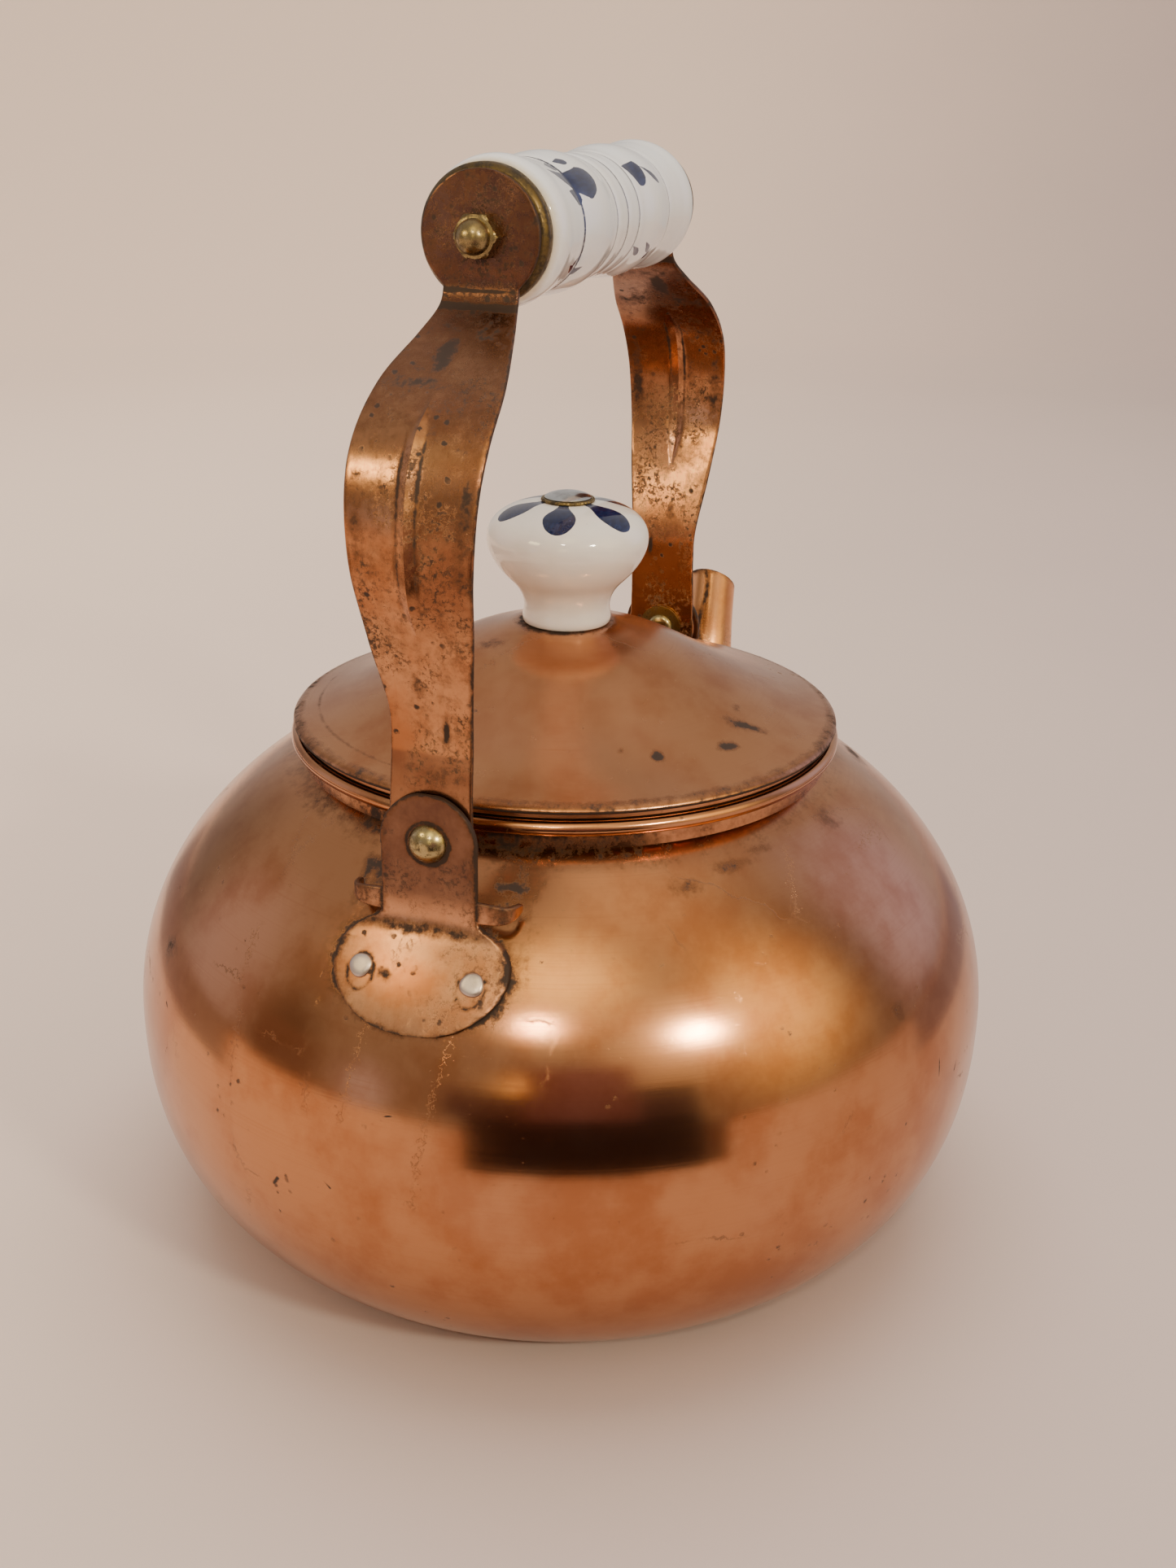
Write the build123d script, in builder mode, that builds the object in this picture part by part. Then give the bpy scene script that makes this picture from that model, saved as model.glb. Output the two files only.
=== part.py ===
from build123d import *
import math
import os

os.makedirs("parts", exist_ok=True)

# ---------------------------------------------------------------------------
# Driving dimensions, millimetres. +Z up, the kettle stands on Z = 0 and the
# spout points along +X. "rear" pieces are on -X, "front" pieces on +X.
# ---------------------------------------------------------------------------

# spun body
R_BELLY = 90.0        # greatest radius
Z_BELLY = 48.0        # height of the greatest radius
H_UP, P_UP = 65.77, 2.046     # shoulder: (r/R)^p + ((z-Zb)/H)^p = 1
H_LOW, P_LOW = 61.40, 2.444   # lower bowl, same law
WALL = 0.9            # copper sheet
R_BASE = 57.0         # flat standing face
R_NECK = 54.35        # outside of the short neck
Z_NECK = 101.0        # where the shoulder turns up into the neck
R_BEAD_C, Z_BEAD_C, R_BEAD = 54.95, 105.3, 1.5   # rolled rim bead

# spout: centre line (x, z) and outside radius
SPOUT = [
    (76.0, 44.5, 16.0),
    (88.0, 53.5, 14.2),
    (99.5, 66.0, 11.2),
    (106.8, 79.0, 8.7),
    (110.9, 90.0, 7.0),
    (113.6, 101.0, 6.35),
    (116.6, 114.0, 6.2),
]
SPOUT_WALL = 0.8
SPOUT_BACK = (108.4, 111.9)   # highest point of the bevelled mouth (x, z)
SPOUT_LIP = (121.9, 98.9)     # lowest point of the bevelled mouth (x, z)
R_SPOUT_HOLE = 11.0

# handle pivot and brackets
Z_PIVOT = 107.1
X_EAR_IN, X_EAR_OUT = 69.4, 70.6
R_EAR = 9.2           # round top of the ear, half width 9.05
W_EAR = 9.05
EAR_BOTTOM = 90.9
PAD_T = 1.2
PAD_GAP = 0.05
R_PIVOT = 2.0         # rivet shank
PIVOT_CLEAR = 0.06    # running clearance of the strap on the shank
RIVET_Y, RIVET_Z = 10.45, 83.7
R_RIVET, R_RIVET_HEAD, H_RIVET_HEAD = 1.45, 2.2, 0.8
LUG_Y, LUG_Z0, LUG_Z1 = 14.0, 93.3, 97.0

# handle
STRAP_T = 1.0
STRAP = [  # centre plane and half width of the strap: (x, z, half width)
    (68.7, 107.1, 7.8), (68.7, 112.6, 7.75), (68.4, 117.5, 7.65), (67.8, 124.0, 7.6),
    (68.2, 131.4, 7.8), (71.8, 143.6, 9.5), (75.4, 155.7, 10.8), (75.0, 167.9, 11.55),
    (70.6, 177.0, 11.8), (61.5, 184.3, 11.1), (51.4, 190.4, 8.6), (46.0, 194.3, 7.1),
    (44.4, 197.6, 6.8),
]
X_DISC = 44.4         # centre plane of the strap's end disc
R_STRAP_END = 8.2
Z_GRIP = 206.1
R_DISC = 10.6
RIDGE = [  # embossed crease: (section, half width, rise)
    (5, 0.5, 0.06), (6, 1.9, 0.7), (7, 2.1, 0.8), (8, 1.7, 0.6), (9, 0.4, 0.05),
]
CAP_T, R_CAP = 3.0, 11.5
GRIP_END = 40.85      # |x| of the porcelain's end faces
GRIP = [  # (|x|, radius) of the porcelain from its end face to its middle
    (40.1, 11.9), (38.4, 12.55), (35.4, 12.55), (31.5, 12.1), (28.0, 11.75),
    (25.5, 11.6),
]
GRIP_LOBE = [
    (25.5, 11.6), (22.0, 12.1), (17.0, 12.45), (12.0, 12.1), (8.8, 11.6),
    (6.6, 11.35),
]
R_ROD = 1.95
NUT_AF, NUT_HEX, NUT_TOP = 7.0, 2.6, 5.6

# lid
LID = [(9.3, 127.66), (14.0, 126.45), (20.0, 124.65), (26.0, 121.95), (32.0, 118.80),
       (38.0, 115.80), (44.0, 113.15), (49.0, 111.30), (54.0, 109.85)]
LID_T = 0.9
R_LID, Z_LID_EDGE = 55.9, 108.15
R_COLLAR, COLLAR_T, Z_COLLAR = 52.7, 0.8, 98.5
Z_LID_TOP = 127.66

# knob
KNOB = [  # (radius, height above the lid)
    (9.0, 1.2), (8.75, 3.0), (9.0, 5.2), (10.35, 7.7), (12.75, 10.2),
    (14.75, 12.8), (15.95, 15.4), (16.25, 17.9), (15.4, 20.4), (13.0, 22.6),
    (9.0, 24.1), (5.2, 24.7),
]
R_SCREW = 2.0


def belly(z):
    """Outside radius of the spun body at height z."""
    if z >= Z_BELLY:
        u, p = (z - Z_BELLY) / H_UP, P_UP
    else:
        u, p = (Z_BELLY - z) / H_LOW, P_LOW
    return R_BELLY * (1.0 - u**p) ** (1.0 / p)


def belly_normal(z):
    """Outward unit normal (radial, vertical) of the body's profile."""
    d = 0.01
    dr = (belly(z + d) - belly(z - d)) / (2 * d)
    n = math.hypot(1.0, dr)
    return (1.0 / n, -dr / n)


def shifted(points, t):
    """Points of a curve moved by t along the curve's left normal."""
    out = []
    for i, (a, b) in enumerate(points):
        a0, b0 = points[max(i - 1, 0)]
        a1, b1 = points[min(i + 1, len(points) - 1)]
        l = math.hypot(a1 - a0, b1 - b0)
        out.append((a - t * (b1 - b0) / l, b + t * (a1 - a0) / l))
    return out


def dome_mid(a, r, top):
    """Middle point of an arc from (a, r) to (top, 0) whose centre is on the axis."""
    c = (top * top - a * a - r * r) / (2 * (top - a))
    radius = top - c
    angle = math.atan2(r, a - c) / 2
    return (c + radius * math.cos(angle), radius * math.sin(angle))


Z_PROFILE = [3.2, 6.5, 11.0, 18.0, 28.0, 38.0, 48.0, 58.0, 68.0, 76.0, 84.0, 90.0, 95.0, 98.5]
OUTER = [(R_BASE, 0.0), (64.6, 0.95)] + [(belly(z), z) for z in Z_PROFILE] + [(R_NECK, Z_NECK)]
INNER = [(R_BASE, WALL), (64.25, 1.8)]
for z in Z_PROFILE:
    nr, nz = belly_normal(z)
    INNER.append((belly(z) - WALL * nr, z - WALL * nz))
INNER.append((R_NECK - WALL, Z_NECK + 0.25))

# ---------------------------------------------------------------------------
# Body: one spun copper shell with a rolled rim bead
# ---------------------------------------------------------------------------
z_bead_low = Z_BEAD_C - math.sqrt(R_BEAD**2 - (R_BEAD_C - R_NECK) ** 2)

with BuildPart() as spun:
    with BuildSketch(Plane.XZ):
        with BuildLine():
            Line((0, 0), OUTER[0])
            Spline(*OUTER, tangents=((1, 0), (-1.15, 0.75)))
            Line(OUTER[-1], (R_NECK, z_bead_low))
            ThreePointArc(
                (R_NECK, z_bead_low),
                (R_BEAD_C + R_BEAD * 0.5, Z_BEAD_C + R_BEAD * math.sqrt(0.75)),
                (R_BEAD_C - R_BEAD, Z_BEAD_C),
            )
            Line((R_BEAD_C - R_BEAD, Z_BEAD_C), INNER[-1])
            Spline(*reversed(INNER), tangents=((1.15, -0.75), (-1, 0)))
            Line(INNER[0], (0, WALL))
            Line((0, WALL), (0, 0))
        make_face()
    revolve(axis=Axis.Z)

# solid block bounded by the body's outside, used to trim what is fixed on it
with BuildPart() as body_block:
    with BuildSketch(Plane.XZ):
        with BuildLine():
            Line((0, 0), OUTER[0])
            Spline(*OUTER, tangents=((1, 0), (-1.15, 0.75)))
            Line(OUTER[-1], (0, Z_NECK))
            Line((0, Z_NECK), (0, 0))
        make_face()
    revolve(axis=Axis.Z)


def rivet_plane(side, y):
    """Plane on the body's outside at a bracket rivet, Z along the normal."""
    r = belly(RIVET_Z)
    x = side * math.sqrt(r * r - y * y)
    nr, nz = belly_normal(RIVET_Z)
    n = (nr * x / r, nr * y / r, nz)
    return Plane(origin=(x, y, RIVET_Z), z_dir=n)


RIVET_PLANES = {
    side: [rivet_plane(side, y) for y in (-RIVET_Y, RIVET_Y)] for side in (-1, 1)
}
spout_dir = (SPOUT[1][0] - SPOUT[0][0], 0, SPOUT[1][1] - SPOUT[0][1])

with BuildPart() as body_shell:
    add(spun.part)
    # holes for the four bracket rivets
    for side in (-1, 1):
        for pl in RIVET_PLANES[side]:
            with BuildSketch(pl.offset(-3)):
                Circle(R_RIVET + 0.05)
            extrude(amount=6, mode=Mode.SUBTRACT)
    # the way from the body into the spout
    with BuildSketch(Plane(origin=(SPOUT[0][0], 0, SPOUT[0][1]), z_dir=spout_dir)):
        Circle(R_SPOUT_HOLE)
    extrude(amount=30, mode=Mode.SUBTRACT)

# ---------------------------------------------------------------------------
# Spout: tapered copper tube, soldered on the shoulder, mouth cut on a bevel
# ---------------------------------------------------------------------------


def tangent(i):
    a = SPOUT[max(i - 1, 0)]
    b = SPOUT[min(i + 1, len(SPOUT) - 1)]
    return (b[0] - a[0], 0, b[1] - a[1])


with BuildPart() as spout_bore:
    for i, (x, z, r) in enumerate(SPOUT):
        with BuildSketch(Plane(origin=(x, 0, z), x_dir=(0, 1, 0), z_dir=tangent(i))):
            Circle(r - SPOUT_WALL)
    loft()

with BuildPart() as spout:
    for i, (x, z, r) in enumerate(SPOUT):
        with BuildSketch(Plane(origin=(x, 0, z), x_dir=(0, 1, 0), z_dir=tangent(i))):
            Circle(r)
    loft()
    add(spout_bore.part, mode=Mode.SUBTRACT)
    add(body_block.part, mode=Mode.SUBTRACT)
    # bevelled mouth
    with BuildSketch(Plane.XZ.offset(-20)):
        with BuildLine():
            Polyline(
                (SPOUT_BACK[0] - 8.0, SPOUT_BACK[1] + 8.0 * 13.0 / 13.5),
                (SPOUT_LIP[0] + 8.0, SPOUT_LIP[1] - 8.0 * 13.0 / 13.5),
                (SPOUT_LIP[0] + 8.0, 140.0),
                (SPOUT_BACK[0] - 8.0, 140.0),
                close=True,
            )
        make_face()
    extrude(amount=40, mode=Mode.SUBTRACT)

# ---------------------------------------------------------------------------
# Brackets: a pad that follows the body, a flat ear, and two stop lugs
# ---------------------------------------------------------------------------
pad_out, pad_in = [], []
for z in (70.0, 74.0, 78.0, 82.0, 86.0, 90.0, 94.0, 97.0):
    nr, nz = belly_normal(z)
    pad_in.append((belly(z) + PAD_GAP * nr, z + PAD_GAP * nz))
    pad_out.append((belly(z) + (PAD_GAP + PAD_T) * nr, z + (PAD_GAP + PAD_T) * nz))

PAD_EDGE = [
    (0.0, 76.2), (6.5, 76.7), (12.0, 78.9), (15.8, 82.3), (16.6, 85.4),
    (15.2, 88.6), (12.2, 90.9), (10.0, 92.0), (9.05, 93.2),
]


def make_bracket(side):
    """Pad, ear and lugs of one bracket, on the +X or the -X side."""
    with BuildPart() as skin:
        with BuildSketch(Plane.XZ):
            with BuildLine():
                Spline(*pad_out)
                Line(pad_out[-1], pad_in[-1])
                Spline(*reversed(pad_in))
                Line(pad_in[0], pad_out[0])
            make_face()
        revolve(axis=Axis.Z)
    with BuildPart() as bracket:
        # pad outline, seen along X
        with BuildSketch(Plane.YZ.offset(50)):
            with BuildLine():
                Spline(*([(-y, z) for y, z in reversed(PAD_EDGE[1:])] + PAD_EDGE),
                       tangents=((0, -1), (0, 1)))
                Line(PAD_EDGE[-1], (-PAD_EDGE[-1][0], PAD_EDGE[-1][1]))
            make_face()
        extrude(amount=45)
        add(skin.part, mode=Mode.INTERSECT)
        # flat ear with a round top
        with BuildSketch(Plane.YZ.offset(X_EAR_IN)):
            with Locations((0, (EAR_BOTTOM + Z_PIVOT) / 2)):
                Rectangle(2 * W_EAR, Z_PIVOT - EAR_BOTTOM)
            with Locations((0, Z_PIVOT)):
                Circle(R_EAR)
            with Locations((0, Z_PIVOT)):
                Circle(R_PIVOT + 0.02, mode=Mode.SUBTRACT)
        extrude(amount=X_EAR_OUT - X_EAR_IN)
        # stop lugs: strips that leave the ear sideways and turn in
        for s in (-1, 1):
            with BuildSketch(Plane.XY.offset(LUG_Z0)):
                with BuildLine():
                    Polyline(
                        (X_EAR_OUT, s * (W_EAR - 1.5)),
                        (X_EAR_OUT, s * (LUG_Y - 0.3)),
                        (X_EAR_OUT - 0.6, s * (LUG_Y + 0.9)),
                        (X_EAR_OUT - 4.4, s * (LUG_Y + 1.4)),
                        (X_EAR_OUT - 4.6, s * (LUG_Y + 0.25)),
                        (X_EAR_OUT - 1.5, s * LUG_Y),
                        (X_EAR_IN, s * (LUG_Y - 0.9)),
                        (X_EAR_IN, s * (W_EAR - 1.5)),
                        close=True,
                    )
                make_face()
            extrude(amount=LUG_Z1 - LUG_Z0)
    with BuildPart() as done:
        add(bracket.part)
        for pl in RIVET_PLANES[1]:
            with BuildSketch(pl.offset(-2)):
                Circle(R_RIVET + 0.05)
            extrude(amount=6, mode=Mode.SUBTRACT)
        # whatever would reach into the body is cut away
        add(body_block.part, mode=Mode.SUBTRACT)
    with BuildPart() as placed:
        add(done.part if side > 0 else done.part.rotate(Axis.Z, 180))
    return placed


front_bracket = make_bracket(1)
rear_bracket = make_bracket(-1)


def make_bracket_rivets(side):
    """Two flat-headed rivets, set square to the body's wall."""
    with BuildPart() as rivets:
        for pl in RIVET_PLANES[side]:
            with BuildSketch(pl.offset(-WALL - 0.1)):
                Circle(R_RIVET)
            extrude(amount=WALL + 0.1 + PAD_GAP + PAD_T + 0.3)
            with BuildSketch(pl.offset(PAD_GAP + PAD_T + 0.06)):
                Circle(R_RIVET_HEAD)
            extrude(amount=H_RIVET_HEAD, taper=12)
            with BuildSketch(pl.offset(-WALL - 0.08)):
                Circle(R_RIVET_HEAD + 0.3)
            extrude(amount=-0.9, taper=14)
    return rivets


front_bracket_rivets = make_bracket_rivets(1)
rear_bracket_rivets = make_bracket_rivets(-1)

# ---------------------------------------------------------------------------
# Pivot rivets (domed brass) and the washers under their closed ends
# ---------------------------------------------------------------------------
X_STRAP_IN = STRAP[0][0] - STRAP_T / 2
WASHER_T = 0.6
X_WASHER = X_STRAP_IN - 0.15 - WASHER_T


def make_pivot_rivet(side):
    with BuildPart() as rivet:
        with BuildSketch(Plane.XZ.offset(0)):
            with BuildLine():
                x0 = X_WASHER - 0.9
                Polyline(
                    (x0, Z_PIVOT), (x0, Z_PIVOT + 2.2), (x0 + 0.35, Z_PIVOT + 2.8),
                    (X_WASHER - 0.02, Z_PIVOT + 3.0), (X_WASHER - 0.02, Z_PIVOT + R_PIVOT),
                    (X_EAR_OUT + 0.05, Z_PIVOT + R_PIVOT), (X_EAR_OUT + 0.05, Z_PIVOT + 3.55),
                )
                m = dome_mid(X_EAR_OUT + 0.05, 3.55, X_EAR_OUT + 2.35)
                ThreePointArc(
                    (X_EAR_OUT + 0.05, Z_PIVOT + 3.55),
                    (m[0], Z_PIVOT + m[1]),
                    (X_EAR_OUT + 2.35, Z_PIVOT),
                )
                Line((X_EAR_OUT + 2.35, Z_PIVOT), (x0, Z_PIVOT))
            make_face()
        revolve(axis=Axis((0, 0, Z_PIVOT), (1, 0, 0)))
    with BuildPart() as placed:
        add(rivet.part if side > 0 else rivet.part.mirror(Plane.YZ))
    return placed


def make_pivot_washer(side):
    with BuildPart() as washer:
        with BuildSketch(Plane.YZ.offset(X_WASHER if side > 0 else -X_WASHER)):
            with Locations((0, Z_PIVOT)):
                Circle(5.0)
                Circle(R_PIVOT + 0.05, mode=Mode.SUBTRACT)
        extrude(amount=WASHER_T if side > 0 else -WASHER_T)
    return washer


front_pivot_rivet = make_pivot_rivet(1)
rear_pivot_rivet = make_pivot_rivet(-1)
front_pivot_washer = make_pivot_washer(1)
rear_pivot_washer = make_pivot_washer(-1)

# ---------------------------------------------------------------------------
# Straps: sheet strip bowed outwards, wide shoulders, round disc at the top
# ---------------------------------------------------------------------------
h = STRAP_T / 2


def strap_plane(i):
    """Plane across the strap at section i: X along the width, Y out of its face."""
    x, z, _ = STRAP[i]
    if i in (0, len(STRAP) - 1):
        return Plane(origin=(x, 0, z), x_dir=(0, -1, 0), z_dir=(0, 0, 1))
    x0, z0, _ = STRAP[i - 1]
    x1, z1, _ = STRAP[i + 1]
    return Plane(origin=(x, 0, z), x_dir=(0, -1, 0), z_dir=(x1 - x0, 0, z1 - z0))


def make_strap(side):
    with BuildPart() as bow:
        for i, (x, z, w) in enumerate(STRAP):
            with BuildSketch(strap_plane(i)):
                Rectangle(2 * w, STRAP_T)
        loft()
    with BuildPart() as ridge:
        for i, w, rise in RIDGE:
            with BuildSketch(strap_plane(i)):
                with BuildLine():
                    Polyline((-w, h - 0.3), (w, h - 0.3), (w, h + 0.02), (0.3 * w, h + rise),
                             (-0.3 * w, h + rise), (-w, h + 0.02), close=True)
                make_face()
        loft()
    with BuildPart() as strap:
        with BuildSketch(Plane.YZ.offset(STRAP[0][0] - h)):
            with Locations((0, Z_PIVOT)):
                Circle(R_STRAP_END)
        extrude(amount=STRAP_T)
        with BuildSketch(Plane.YZ.offset(X_DISC - h)):
            with Locations((0, Z_GRIP)):
                Circle(R_DISC)
        extrude(amount=STRAP_T)
        add(bow.part)
        add(ridge.part)
        with BuildSketch(Plane.YZ.offset(30)):
            with Locations((0, Z_PIVOT)):
                Circle(R_PIVOT + PIVOT_CLEAR)
            with Locations((0, Z_GRIP)):
                Circle(R_ROD + 0.15)
        extrude(amount=60, mode=Mode.SUBTRACT)
    with BuildPart() as placed:
        add(strap.part if side > 0 else strap.part.mirror(Plane.YZ))
    return placed


front_strap = make_strap(1)
rear_strap = make_strap(-1)

# ---------------------------------------------------------------------------
# Grip: porcelain sleeve, brass end caps, tie rod and two low acorn nuts
# ---------------------------------------------------------------------------
grip_axis = Axis((0, 0, Z_GRIP), (1, 0, 0))


def up(points):
    return [(x, Z_GRIP + r) for x, r in points]


with BuildPart() as grip:
    with BuildSketch(Plane.XZ):
        with BuildLine():
            for s in (1, -1):
                Line((s * GRIP_END, Z_GRIP + 3.0), (s * GRIP_END, Z_GRIP + 11.0))
                ThreePointArc(
                    (s * GRIP_END, Z_GRIP + 11.0),
                    (s * (GRIP_END - 0.2), Z_GRIP + 11.55),
                    (s * GRIP[0][0], Z_GRIP + GRIP[0][1]),
                )
                Spline(*[(s * x, z) for x, z in up(GRIP)])
                Spline(*[(s * x, z) for x, z in up(GRIP_LOBE)])
            Spline(
                *[(x, Z_GRIP + r) for x, r in (
                    (GRIP_LOBE[-1][0], GRIP_LOBE[-1][1]), (3.3, 11.5), (0.0, 11.25),
                    (-3.3, 11.5), (-GRIP_LOBE[-1][0], GRIP_LOBE[-1][1]))]
            )
            Line((-GRIP_END, Z_GRIP + 3.0), (GRIP_END, Z_GRIP + 3.0))
        make_face()
    revolve(axis=grip_axis)


def make_grip_cap(side):
    x0 = GRIP_END + 0.02
    with BuildPart() as cap:
        with BuildSketch(Plane.XZ):
            with BuildLine():
                Polyline(
                    (x0, Z_GRIP + R_ROD + 0.15), (x0, Z_GRIP + R_CAP - 0.25), (x0 + 0.25, Z_GRIP + R_CAP),
                    (x0 + 2.0, Z_GRIP + R_CAP), (X_DISC - h - 0.02, Z_GRIP + R_CAP - 0.7),
                    (X_DISC - h - 0.02, Z_GRIP + R_ROD + 0.15), close=True,
                )
            make_face()
        revolve(axis=grip_axis)
    with BuildPart() as placed:
        add(cap.part if side > 0 else cap.part.mirror(Plane.YZ))
    return placed


front_grip_cap = make_grip_cap(1)
rear_grip_cap = make_grip_cap(-1)

X_NUT = X_DISC + h + 0.02
with BuildPart() as tie_rod:
    with BuildSketch(Plane.YZ.offset(-(X_NUT + NUT_HEX + 0.8))):
        with Locations((0, Z_GRIP)):
            Circle(R_ROD)
    extrude(amount=2 * (X_NUT + NUT_HEX + 0.8))
    chamfer(tie_rod.edges().filter_by(GeomType.CIRCLE), length=0.4)


def make_acorn_nut(side):
    with BuildPart() as nut:
        with BuildSketch(Plane.YZ.offset(X_NUT)):
            with Locations((0, Z_GRIP)):
                RegularPolygon(NUT_AF / 2, 6, major_radius=False)
        extrude(amount=NUT_HEX)
        with BuildSketch(Plane.XZ):
            with BuildLine():
                Polyline((X_NUT, Z_GRIP), (X_NUT, Z_GRIP + 4.6), (X_NUT + NUT_HEX - 0.6, Z_GRIP + 4.2),
                         (X_NUT + NUT_HEX, Z_GRIP + 3.35), (X_NUT + NUT_HEX, Z_GRIP), close=True)
            make_face()
        revolve(axis=grip_axis, mode=Mode.INTERSECT)
        with BuildSketch(Plane.XZ):
            with BuildLine():
                Polyline((X_NUT + NUT_HEX - 0.3, Z_GRIP), (X_NUT + NUT_HEX - 0.3, Z_GRIP + 2.95),
                         (X_NUT + NUT_HEX + 0.4, Z_GRIP + 2.95))
                m = dome_mid(X_NUT + NUT_HEX + 0.4, 2.95, X_NUT + NUT_TOP)
                ThreePointArc((X_NUT + NUT_HEX + 0.4, Z_GRIP + 2.95),
                              (m[0], Z_GRIP + m[1]), (X_NUT + NUT_TOP, Z_GRIP))
                Line((X_NUT + NUT_TOP, Z_GRIP), (X_NUT + NUT_HEX - 0.3, Z_GRIP))
            make_face()
        revolve(axis=grip_axis)
        with BuildSketch(Plane.YZ.offset(X_NUT)):
            with Locations((0, Z_GRIP)):
                Circle(R_ROD + 0.03)
        extrude(amount=NUT_HEX + 1.0, mode=Mode.SUBTRACT)
    with BuildPart() as placed:
        add(nut.part if side > 0 else nut.part.mirror(Plane.YZ))
    return placed


front_acorn_nut = make_acorn_nut(1)
rear_acorn_nut = make_acorn_nut(-1)

# ---------------------------------------------------------------------------
# Lid: ogee dome with a turned-down edge, and a collar that drops in the neck
# ---------------------------------------------------------------------------
lid_under = shifted(LID, -LID_T)
lid_under[0] = (LID[0][0], LID[0][1] - LID_T)

with BuildPart() as lid_dome:
    with BuildSketch(Plane.XZ):
        with BuildLine():
            Line((R_SCREW + 0.3, Z_LID_TOP), LID[0])
            Spline(*LID, tangents=((1, -0.05), (1, -0.27)))
            ThreePointArc(LID[-1], (55.35, 109.15), (R_LID, Z_LID_EDGE + 0.15))
            Line((R_LID, Z_LID_EDGE + 0.15), (R_LID, Z_LID_EDGE))
            Line((R_LID, Z_LID_EDGE), (R_LID - 0.8, Z_LID_EDGE))
            ThreePointArc((R_LID - 0.8, Z_LID_EDGE), (54.6, 108.6), lid_under[-1])
            Spline(*reversed(lid_under), tangents=((-1, 0.27), (-1, 0.05)))
            Line(lid_under[0], (R_SCREW + 0.3, lid_under[0][1]))
            Line((R_SCREW + 0.3, lid_under[0][1]), (R_SCREW + 0.3, Z_LID_TOP))
        make_face()
    revolve(axis=Axis.Z)

z_rib = Z_BEAD_C + R_BEAD + 0.3
with BuildPart() as lid_collar:
    with BuildSketch(Plane.XZ):
        with BuildLine():
            ro, ri = R_COLLAR, R_COLLAR - COLLAR_T
            Polyline(
                (ri, Z_COLLAR), (ro, Z_COLLAR), (ro, z_rib), (ro + 1.9, z_rib),
                (ro + 1.9, z_rib + COLLAR_T), (ro, z_rib + COLLAR_T), (ro, 110.6), (ri, 110.6),
                close=True,
            )
        make_face()
    revolve(axis=Axis.Z)
    # the collar's top edge is fitted to the underside of the dome
    with BuildSketch(Plane.XZ):
        with BuildLine():
            Spline(*lid_under, tangents=((1, -0.05), (1, -0.27)))
            Line(lid_under[-1], (lid_under[-1][0] + 1.5, lid_under[-1][1]))
            Line((lid_under[-1][0] + 1.5, lid_under[-1][1]), (lid_under[-1][0] + 1.5, 140.0))
            Line((lid_under[-1][0] + 1.5, 140.0), (lid_under[0][0], 140.0))
            Line((lid_under[0][0], 140.0), lid_under[0])
        make_face()
    revolve(axis=Axis.Z, mode=Mode.SUBTRACT)

# ---------------------------------------------------------------------------
# Knob: glazed porcelain mushroom, held by a domed screw through the lid
# ---------------------------------------------------------------------------
kp = [(r, Z_LID_TOP + z) for r, z in KNOB]
z_top = kp[-1][1]
with BuildPart() as knob:
    with BuildSketch(Plane.XZ):
        with BuildLine():
            Line((2.7, Z_LID_TOP), (8.3, Z_LID_TOP))
            ThreePointArc((8.3, Z_LID_TOP), (8.85, Z_LID_TOP + 0.35), kp[0])
            Spline(*kp, tangents=((0, 1), (-1, 0.08)))
            Line(kp[-1], (2.7, z_top))
            Line((2.7, z_top), (2.7, Z_LID_TOP))
        make_face()
    revolve(axis=Axis.Z)

with BuildPart() as knob_bezel:
    with BuildSketch(Plane.XZ):
        with BuildLine():
            Polyline((R_SCREW + 0.2, z_top + 0.02), (5.15, z_top + 0.02), (5.35, z_top + 0.35),
                     (5.15, z_top + 0.7), (4.6, z_top + 0.62), (R_SCREW + 0.2, z_top + 0.45), close=True)
        make_face()
    revolve(axis=Axis.Z)

with BuildPart() as knob_screw:
    with BuildSketch(Plane.XZ):
        with BuildLine():
            Polyline((0, Z_LID_TOP - 6.6), (R_SCREW - 0.3, Z_LID_TOP - 6.6), (R_SCREW, Z_LID_TOP - 6.2),
                     (R_SCREW, z_top + 0.5), (4.5, z_top + 0.66), (4.7, z_top + 0.78))
            m = dome_mid(z_top + 0.78, 4.7, z_top + 2.0)
            ThreePointArc((4.7, z_top + 0.78), (m[1], m[0]), (0, z_top + 2.0))
            Line((0, z_top + 2.0), (0, Z_LID_TOP - 6.6))
        make_face()
    revolve(axis=Axis.Z)

with BuildPart() as knob_washer:
    with BuildSketch(Plane.XY.offset(Z_LID_TOP - LID_T - 1.0)):
        Circle(6.0)
        Circle(R_SCREW + 0.2, mode=Mode.SUBTRACT)
    extrude(amount=0.98)

with BuildPart() as knob_nut:
    with BuildSketch(Plane.XY.offset(Z_LID_TOP - LID_T - 4.22)):
        RegularPolygon(3.5, 6, major_radius=False)
        Circle(R_SCREW + 0.02, mode=Mode.SUBTRACT)
    extrude(amount=3.2)

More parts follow.
